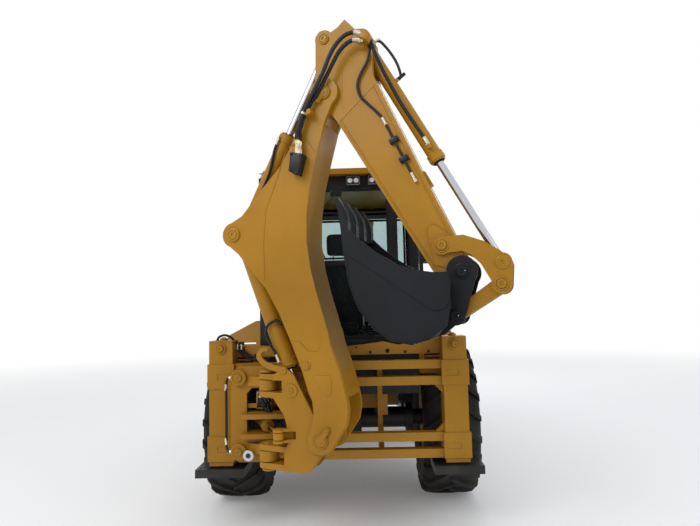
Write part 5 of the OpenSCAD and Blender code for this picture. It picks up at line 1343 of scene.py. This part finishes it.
def buildSeat():
    for name, spec in seatPads.items():
        bm = bmesh.new()
        turned = Matrix.Rotation(math.radians(spec["tilt"]), 4, "X")
        pad(bm, Matrix.Translation(place(*spec["at"])) @ turned, spec["size"], spec["channels"])
        piece = finish(name, bm, ["seatCloth"], "chassis")
        soften(piece)
    bm = bmesh.new()
    roundBox(bm, Matrix.Translation(place(0, 1.060, 1.052)), (0.320, 0.320, 0.024), 0.004, 0)
    for k in range(5):
        roundBox(bm, Matrix.Translation(place(0, 1.060, 1.085 + k * 0.042)),
                 (0.300 - 0.016 * (k % 2), 0.300 - 0.016 * (k % 2), 0.040), 0.012, 1)
    roundBox(bm, Matrix.Translation(place(0, 1.090, 1.325)), (0.430, 0.440, 0.060), 0.016, 0)
    roundBox(bm, Matrix.Translation(place(0, 0.828, 1.760)) @ Matrix.Rotation(math.radians(-82), 4, "X"),
             (0.400, 0.640, 0.036), 0.016, 0)
    roundBox(bm, Matrix.Translation(place(0, 0.835, 1.440)), (0.300, 0.060, 0.160), 0.012, 0)
    for side in (-1, 1):
        tube(bm, [place(side * 0.06, 0.852, 2.060), place(side * 0.06, 0.852, 2.160)], 0.007, 10, 0.03, 2)
    finish("seatBase", bm, ["plastic", "softRubber", "chrome"], "chassis")
    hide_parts("seat")


# Controls: dash, wheel, pedals and the two lever consoles behind the seat
controls = {"wheel": (0, 1.600, 1.660), "lean": 30, "grip": 0.175, "gripR": 0.0135, "spokes": 3,
            "pedalX": (-0.145, 0.145, 0.215), "consoleX": 0.285,
            "levers": ((0.250, 0.250), (0.330, 0.180), (0.205, 0.150))}


def buildControls():
    bm = bmesh.new()
    roundBox(bm, Matrix.Translation(place(0, 1.720, 1.300)), (0.210, 0.150, 0.500), 0.020, 0)
    roundBox(bm, Matrix.Translation(place(0, 1.700, 1.560)) @ Matrix.Rotation(math.radians(25), 4, "X"),
             (0.215, 0.120, 0.070), 0.018, 0)
    lean = Matrix.Rotation(math.radians(controls["lean"]), 4, "X")
    wheel = Matrix.Translation(place(*controls["wheel"])) @ lean
    grip, r = controls["grip"], controls["gripR"]
    turns = [2 * math.pi * k / 12 for k in range(12)]
    rim = [(grip + r * math.cos(a), r * math.sin(a)) for a in turns]
    lathe(bm, wheel, rim, 56, 0, closed=True)
    lathe(bm, wheel, [(0, 0.020), (0.030, 0.018), (0.038, 0.006), (0.038, -0.012), (0.026, -0.020),
                      (0.026, -0.170), (0, -0.170)], 28, 0)
    for k in range(controls["spokes"]):
        spoke = wheel @ Matrix.Rotation(2 * math.pi * k / controls["spokes"] + math.pi / 2, 4, "Z")
        roundBox(bm, spoke @ Matrix.Translation((0.100, 0, 0)), (0.140, 0.022, 0.012), 0.004)
    for x in controls["pedalX"]:
        pedal = Matrix.Translation(place(x, 1.620, 1.120)) @ Matrix.Rotation(math.radians(40), 4, "X")
        roundBox(bm, pedal, (0.060, 0.090, 0.014), 0.004, 1)
    for side in (-1, 1):
        x = side * controls["consoleX"]
        roundBox(bm, Matrix.Translation(place(x, 0.490, 1.245)), (0.264, 0.136, 0.400), 0.020)
        roundBox(bm, Matrix.Translation(place(x, 0.500, 1.452)), (0.240, 0.110, 0.016), 0.006, 1)
        for x, tall in controls["levers"]:
            foot = place(side * x, 0.500, 1.456)
            top = foot + Vector((0, 0.02, tall))
            lathe(bm, axisFrame(foot, (0, 0, 1)), [(0.030, 0), (0.026, 0.012), (0.022, 0.016), (0.024, 0.022),
                                                   (0.016, 0.030), (0.017, 0.036), (0.008, 0.046),
                                                   (0, 0.048)], 20, 1)
            tube(bm, [foot, foot.lerp(top, 0.5), top], 0.006, 10, 0.04, 2)
            lathe(bm, axisFrame(top, (0, 0, 1)), [(0.008, -0.020), (0.016, -0.010), (0.021, 0.010),
                                                  (0.019, 0.030), (0.010, 0.040), (0, 0.042)], 20, 0)
    piece = finish("controls", bm, ["plastic", "softRubber", "steel"], "chassis")
    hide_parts("controls")


buildLamps()
buildWindows()
buildSeat()
buildControls()
print("cab dressed")

# Roof: drip edge and pressed ribs
roof = {"edge": [(0.588, 0.252), (0.653, 0.471), (0.733, 1.060), (0.758, 1.850), (0.598, 2.078)],
        "edgeZ": 2.764, "edgeR": 0.0045,
        "ribX": (-0.30, -0.10, 0.10, 0.30), "ribY": 1.170, "ribZ": 2.8125, "rib": (0.050, 1.20, 0.010)}


def buildRoof():
    bm = bmesh.new()
    right = [tuple(place(x, y, roof["edgeZ"])) for x, y in roof["edge"]]
    left = [tuple(place(-x, y, roof["edgeZ"])) for x, y in reversed(roof["edge"])]
    tube(bm, straightRun(right + left, closed=True), roof["edgeR"], 8, 0.04)
    for x in roof["ribX"]:
        roundBox(bm, Matrix.Translation(place(x, roof["ribY"], roof["ribZ"])), roof["rib"], 0.004)
    finish("roofTrim", bm, ["yellowPaint"], "chassis")


# Front end: exhaust, grille bars, lamps, latches, steps and filler caps
front = {"exhaust": (0.290, 2.440), "lampX": 0.235, "lampZ": 1.400, "bars": 9, "barPitch": 0.06,
         "louvres": (6, 3), "louvrePitch": (0.060, 0.062), "treadZ": (0.5455, 0.7855), "ridges": 7}


def buildFront():
    bm = bmesh.new()
    pipe = axisFrame(place(*front["exhaust"], 1.760), (0, 0, 1))
    lathe(bm, pipe, [(0.047, 0.02), (0.058, 0.022), (0.058, 0.50), (0.047, 0.502)], 32, 1)
    for k in range(9):
        for a in range(10):
            turned = pipe @ Matrix.Rotation(2 * math.pi * a / 10 + 0.3 * (k % 2), 4, "Z")
            spot = turned @ Matrix.Translation((0.0582, 0, 0.07 + k * 0.045))
            roundBox(bm, spot, (0.0012, 0.010, 0.022), 0.0004, 2)
    lathe(bm, axisFrame(place(*front["exhaust"], 2.700), (0, 0, 1)),
          [(0.0545, -0.030), (0.0555, -0.028), (0.0555, -0.002), (0.048, 0.0), (0.046, -0.050)], 32, 0)
    lathe(bm, axisFrame(place(*front["exhaust"], 1.745), (0, 0, 1)),
          [(0.080, 0), (0.080, 0.020), (0.060, 0.028), (0.046, 0.028)], 32, 1)
    for side in (-1, 1):
        lathe(bm, axisFrame(place(side * 0.30, 2.36, 1.765), (0, 0, 1)),
              [(0.030, 0), (0.030, 0.014), (0.026, 0.020), (0, 0.020)], 20, 1)
    finish("exhaust", bm, ["steel", "blackPaint", "castIron"], "chassis")
    bm = bmesh.new()
    for side in (-1, 1):
        m = axisFrame(place(side * front["lampX"], 3.872, front["lampZ"]), (0, 1, 0))
        lathe(bm, m, [(0.048, -0.004), (0.050, 0.004), (0.046, 0.008), (0.041, 0.006)], 36, 0)
        lathe(bm, m, [(0.041, 0.002), (0.030, 0.006), (0, 0.008)], 36, 1)
    finish("headLamps", bm, ["chrome", "clearLens"], "chassis")
    bm = bmesh.new()
    for i in range(front["bars"]):
        spot = place(-0.24 + i * front["barPitch"], 3.862, 1.275)
        roundBox(bm, Matrix.Translation(spot), (0.006, 0.010, 0.360), 0.002)
    finish("grilleBars", bm, ["blackPaint"], "chassis")
    bm = bmesh.new()
    for side in (-1, 1):
        across, down = front["louvrePitch"]
        for i in range(front["louvres"][0]):
            for k in range(front["louvres"][1]):
                spot = Matrix.Translation(place(side * 0.373, 2.818 + i * across, 1.235 + k * down))
                roundBox(bm, spot @ Matrix.Rotation(side * 0.5, 4, "Y"), (0.003, 0.037, 0.030), 0.001)
        m = axisFrame(place(side * 0.381, 3.700, 1.180), (side, 0, 0))
        roundBox(bm, m, (0.030, 0.090, 0.012), 0.004, 1)
        lathe(bm, m @ Matrix.Translation((0, 0.02, 0.005)), [(0.008, 0), (0.008, 0.004), (0, 0.005)], 14, 2)
    finish("hoodTrim", bm, ["blackPaint", "plastic", "zinc"], "hood")
    bm = bmesh.new()
    for side in (-1, 1):
        for z in front["treadZ"]:
            for k in range(front["ridges"]):
                spot = place(side * 0.985, 1.840 + k * 0.053, z)
                roundBox(bm, Matrix.Translation(spot), (0.140, 0.012, 0.005), 0.0015)
        roundBox(bm, Matrix.Translation(place(side * 0.735, 2.100, 0.941)), (0.300, 0.620, 0.006), 0.002, 0)
        lathe(bm, axisFrame(place(side * 0.800, 2.300, 0.940), (0, 0, 1)),
              [(0.055, 0), (0.055, 0.018), (0.048, 0.026), (0.020, 0.026), (0.020, 0.034), (0, 0.034)], 24, 1)
        low, high = place(side * 0.748, 1.962, 1.15), place(side * 0.748, 1.962, 1.62)
        out, bend = Vector((0, 0.045, 0)), Vector((0, 0, 0.06))
        tube(bm, [low, low + out, low + out + bend, high + out - bend, high + out, high], 0.010, 12, 0.03, 0)
    finish("stepTrim", bm, ["blackPaint", "plastic"], "chassis")


buildRoof()
buildFront()

# Loader: pin ends, hard pipes along the arms, edge bolts and tooth caps
loaderPins = [
    {"body": "loader_arms", "at": (4.350, 0.520), "reach": 0.070, "r": 0.034},
    {"body": "loader_arms", "at": (3.650, 1.230), "reach": 0.070, "r": 0.028},
    {"body": "loader_arms", "at": (2.400, 1.700), "reach": 0.046, "r": 0.026},
    {"body": "tilt_links", "at": (3.4946, 1.5223), "reach": 0.070, "r": 0.024},
]
armPipes = {"x": 0.420, "r": 0.007, "drops": (0.055, 0.085),
            "line": ((2.480, 1.555), (2.700, 1.512), (3.200, 1.388), (3.450, 1.326))}
bucketPose = {"pin": (4.350, 0.520), "roll": math.radians(42), "bolts": 12, "teeth": 6}


def buildLoader():
    made = {}
    for spec in loaderPins:
        bm = made.setdefault(spec["body"], bmesh.new())
        r = spec["r"]
        for side in (-1, 1):
            for way in (-1, 1):
                m = axisFrame(place(side * 0.470 + way * spec["reach"], *spec["at"]), (way, 0, 0))
                lathe(bm, m, [(r, -0.004), (r, 0.003), (r - 0.003, 0.005), (0.010, 0.005), (0.008, 0.001),
                              (0, 0.001)], 28, 1)
    bm = made["loader_arms"]
    for side in (-1, 1):
        for drop in armPipes["drops"]:
            run = [place(side * armPipes["x"], y, z - drop) for y, z in armPipes["line"]]
            tube(bm, run, armPipes["r"], 10, 0.05, 2)
        for y, z in ((2.700, 1.450), (3.100, 1.352), (3.400, 1.279)):
            roundBox(bm, Matrix.Translation(place(side * 0.4235, y, z - 0.010)), (0.020, 0.030, 0.060), 0.003)
    for body, bm in made.items():
        finish(body + "Trim", bm, ["yellowPaint", "zinc", "steel"], body)
    rise, level = math.sin(bucketPose["roll"]), math.cos(bucketPose["roll"])

    def bucketPoint(x, y, z):
        # y runs out along the bucket's floor, z square to it
        pinY, pinZ = bucketPose["pin"]
        return place(x, pinY + y * level - z * rise, pinZ + y * rise + z * level)

    spots = []
    for i in range(bucketPose["bolts"]):
        spots.append([bucketPoint(-1.10 + 0.2 * i, 0.900, -0.1385), Vector((0, -rise, level)), 1.1])
    setBolts("edgeBolts", spots, "loader_bucket", "steel")
    bm = bmesh.new()
    tooth = [(0.930, -0.1905), (1.0, -0.1805), (1.0495, -0.1535), (1.0495, -0.1500), (1.0, -0.1235),
             (0.930, -0.1165)]
    turned = Matrix(((0, 0, 1, 0), (level, -rise, 0, 0), (rise, level, 0, 0), (0, 0, 0, 1)))
    for i in range(bucketPose["teeth"]):
        m = Matrix.Translation(bucketPoint((i - 2.5) * 0.46, 0, 0)) @ turned
        prism(bm, m, tooth, -0.0495, 0.0495, 0.004)
    finish("loaderTeeth", bm, ["steel"], "loader_bucket")


buildLoader()


# Under the floor: gearbox, sump, shafts and steering ram between the rails
driveline = {"shafts": ((2.050, 0.780, 1.165, 0.690), (2.610, 0.740, 3.020, 0.530)), "shaftR": 0.032,
             "ram": (0, 3.060, 0.520), "ramHalf": (0.26, 0.42), "ramR": (0.030, 0.014)}


def buildDriveline():
    bm = bmesh.new()
    roundBox(bm, Matrix.Translation(place(0, 2.330, 0.830)), (0.380, 0.560, 0.300), 0.03, 0)
    lathe(bm, axisFrame(place(0, 2.610, 0.900), (0, 1, 0)),
          [(0, -0.02), (0.200, -0.02), (0.210, 0), (0.210, 0.02), (0, 0.02)], 40, 0)
    roundBox(bm, Matrix.Translation(place(0, 3.090, 0.930)), (0.360, 0.820, 0.110), 0.03, 0)
    for y0, z0, y1, z1 in driveline["shafts"]:
        a, b = place(0, y0, z0), place(0, y1, z1)
        tube(bm, [a, a.lerp(b, 0.5), b], driveline["shaftR"], 20, 0.1, 1)
        for p, q in ((a, b), (b, a)):
            lathe(bm, axisFrame(p, q - p), [(0, 0), (0.052, 0), (0.052, 0.025), (0.036, 0.05), (0.036, 0.09),
                                            (0.032, 0.10)], 24, 0)
    ram = place(*driveline["ram"])
    for half, r, sides, slot in zip(driveline["ramHalf"], driveline["ramR"], (20, 16), (1, 2)):
        reach = Vector((half, 0, 0))
        tube(bm, [ram - reach, ram, ram + reach], r, sides, 0.1, slot)
    for side in (-1, 1):
        roundBox(bm, Matrix.Translation(place(side * 0.20, 3.095, 0.520)), (0.05, 0.075, 0.060), 0.006, 1)
    finish("driveline", bm, ["castIron", "blackPaint", "chrome"], "chassis")


buildDriveline()
print("machine dressed")

# Doors: the frame's paint and a see-through pane
doorPane = {"side": 0.740, "from": 0.015, "to": 0.029}   # how far out from the cab's side its faces lie


def buildDoors():
    for word in ("left", "right"):
        bm = bmesh.new()
        bm.from_mesh(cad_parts["door_" + word].data)
        bmesh.ops.remove_doubles(bm, verts=bm.verts, dist=0.00001)
        for face in bm.faces:
            out = abs(face.calc_center_median().x) - doorPane["side"]
            pane = abs(face.normal.x) > 0.9 and doorPane["from"] < out < doorPane["to"]
            face.material_index = 1 if pane else 0
        piece = finish("doorShell_" + word, bm, ["blackPaint", "cabGlass"], "door_" + word, False)
        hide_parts("door_" + word)


buildDoors()
print("doors glazed")

# Floor, backdrop and lamps
studio = {"floor": (0.90, 0.90, 0.90), "world": 0.62, "fade": (6.0, 17.0)}
lamps = {
    "key": {"spot": (-5.5, -9.0, 7.5), "aim": (0, -1.5, 1.5), "power": 400, "tone": (1.0, 0.97, 0.93)},
    "fill": {"spot": (7.5, -6.5, 4.0), "aim": (0, 0, 1.3), "power": 150, "tone": (0.93, 0.96, 1.0)},
    "rim": {"spot": (1.5, 8.0, 7.0), "aim": (0, 0, 1.5), "power": 160, "tone": (1, 1, 1)},
}


def buildStudio():
    mat, tree, shader = newMaterial("floorPale")
    speck = ramp(tree, noiseOn(tree, 3.0, 4.0), ((0.3, tuple(0.98 * c for c in studio["floor"])),
                                                 (0.7, studio["floor"])))
    tree.links.new(speck, shader.inputs["Base Color"])
    shader.inputs["Roughness"].default_value = 0.8
    shader.inputs["Emission Color"].default_value = (1, 1, 1, 1)
    shader.inputs["Emission Strength"].default_value = 0.12
    # far from the machine the floor fades into the white backdrop
    glow = tree.nodes.new("ShaderNodeEmission")
    glow.inputs["Strength"].default_value = 1.0
    where = tree.nodes.new("ShaderNodeTexCoord")
    reach = tree.nodes.new("ShaderNodeVectorMath")
    reach.operation = "LENGTH"
    fade = tree.nodes.new("ShaderNodeMapRange")
    fade.inputs["From Min"].default_value = studio["fade"][0]
    fade.inputs["From Max"].default_value = studio["fade"][1]
    both = tree.nodes.new("ShaderNodeMixShader")
    ends = [n for n in tree.nodes if n.type == "OUTPUT_MATERIAL"]
    tree.links.new(where.outputs["Object"], reach.inputs[0])
    tree.links.new(reach.outputs["Value"], fade.inputs["Value"])
    tree.links.new(fade.outputs["Result"], both.inputs[0])
    tree.links.new(shader.outputs[0], both.inputs[1])
    tree.links.new(glow.outputs[0], both.inputs[2])
    tree.links.new(both.outputs[0], ends[0].inputs["Surface"])
    bm = bmesh.new()
    corners = [bm.verts.new(p) for p in ((-60, -60, 0), (60, -60, 0), (60, 60, 0), (-60, 60, 0))]
    bm.faces.new(corners)
    mesh = bpy.data.meshes.new("floor")
    bm.to_mesh(mesh)
    bm.free()
    mesh.materials.append(mat)
    floor = bpy.data.objects.new("floor", mesh)
    scene.collection.objects.link(floor)
    world = bpy.data.worlds.new("studio")
    scene.world = world
    world.use_nodes = True
    nodes, links = world.node_tree.nodes, world.node_tree.links
    nodes.clear()
    out = nodes.new("ShaderNodeOutputWorld")
    soft = nodes.new("ShaderNodeBackground")
    soft.inputs["Color"].default_value = (0.93, 0.96, 1.0, 1)
    # the sky lights more from above than from below
    coords = nodes.new("ShaderNodeTexCoord")
    split = nodes.new("ShaderNodeSeparateXYZ")
    grade = nodes.new("ShaderNodeMapRange")
    grade.inputs["From Min"].default_value = -0.25
    grade.inputs["From Max"].default_value = 0.85
    grade.inputs["To Min"].default_value = 0.30 * studio["world"]
    grade.inputs["To Max"].default_value = 1.20 * studio["world"]
    links.new(coords.outputs["Generated"], split.inputs[0])
    links.new(split.outputs["Z"], grade.inputs["Value"])
    links.new(grade.outputs["Result"], soft.inputs["Strength"])
    seen = nodes.new("ShaderNodeBackground")
    seen.inputs["Color"].default_value = (1, 1, 1, 1)
    seen.inputs["Strength"].default_value = 1.0
    path = nodes.new("ShaderNodeLightPath")
    most = nodes.new("ShaderNodeMath")
    most.operation = "MAXIMUM"
    links.new(path.outputs["Is Camera Ray"], most.inputs[0])
    links.new(path.outputs["Is Transmission Ray"], most.inputs[1])
    shiny = nodes.new("ShaderNodeMath")
    shiny.operation = "MAXIMUM"
    links.new(most.outputs[0], shiny.inputs[0])
    links.new(path.outputs["Is Glossy Ray"], shiny.inputs[1])
    mix = nodes.new("ShaderNodeMixShader")
    links.new(shiny.outputs[0], mix.inputs[0])
    links.new(soft.outputs[0], mix.inputs[1])
    links.new(seen.outputs[0], mix.inputs[2])
    links.new(mix.outputs[0], out.inputs[0])
    for name, spec in lamps.items():
        lamp = bpy.data.lights.new(name, "AREA")
        lamp.energy = spec["power"]
        lamp.size = 5.0
        lamp.color = spec["tone"]
        obj = bpy.data.objects.new(name, lamp)
        scene.collection.objects.link(obj)
        obj.location = spec["spot"]
        obj.rotation_euler = (Vector(spec["aim"]) - Vector(spec["spot"])).to_track_quat("-Z", "Y").to_euler()


buildStudio()
print("studio set")
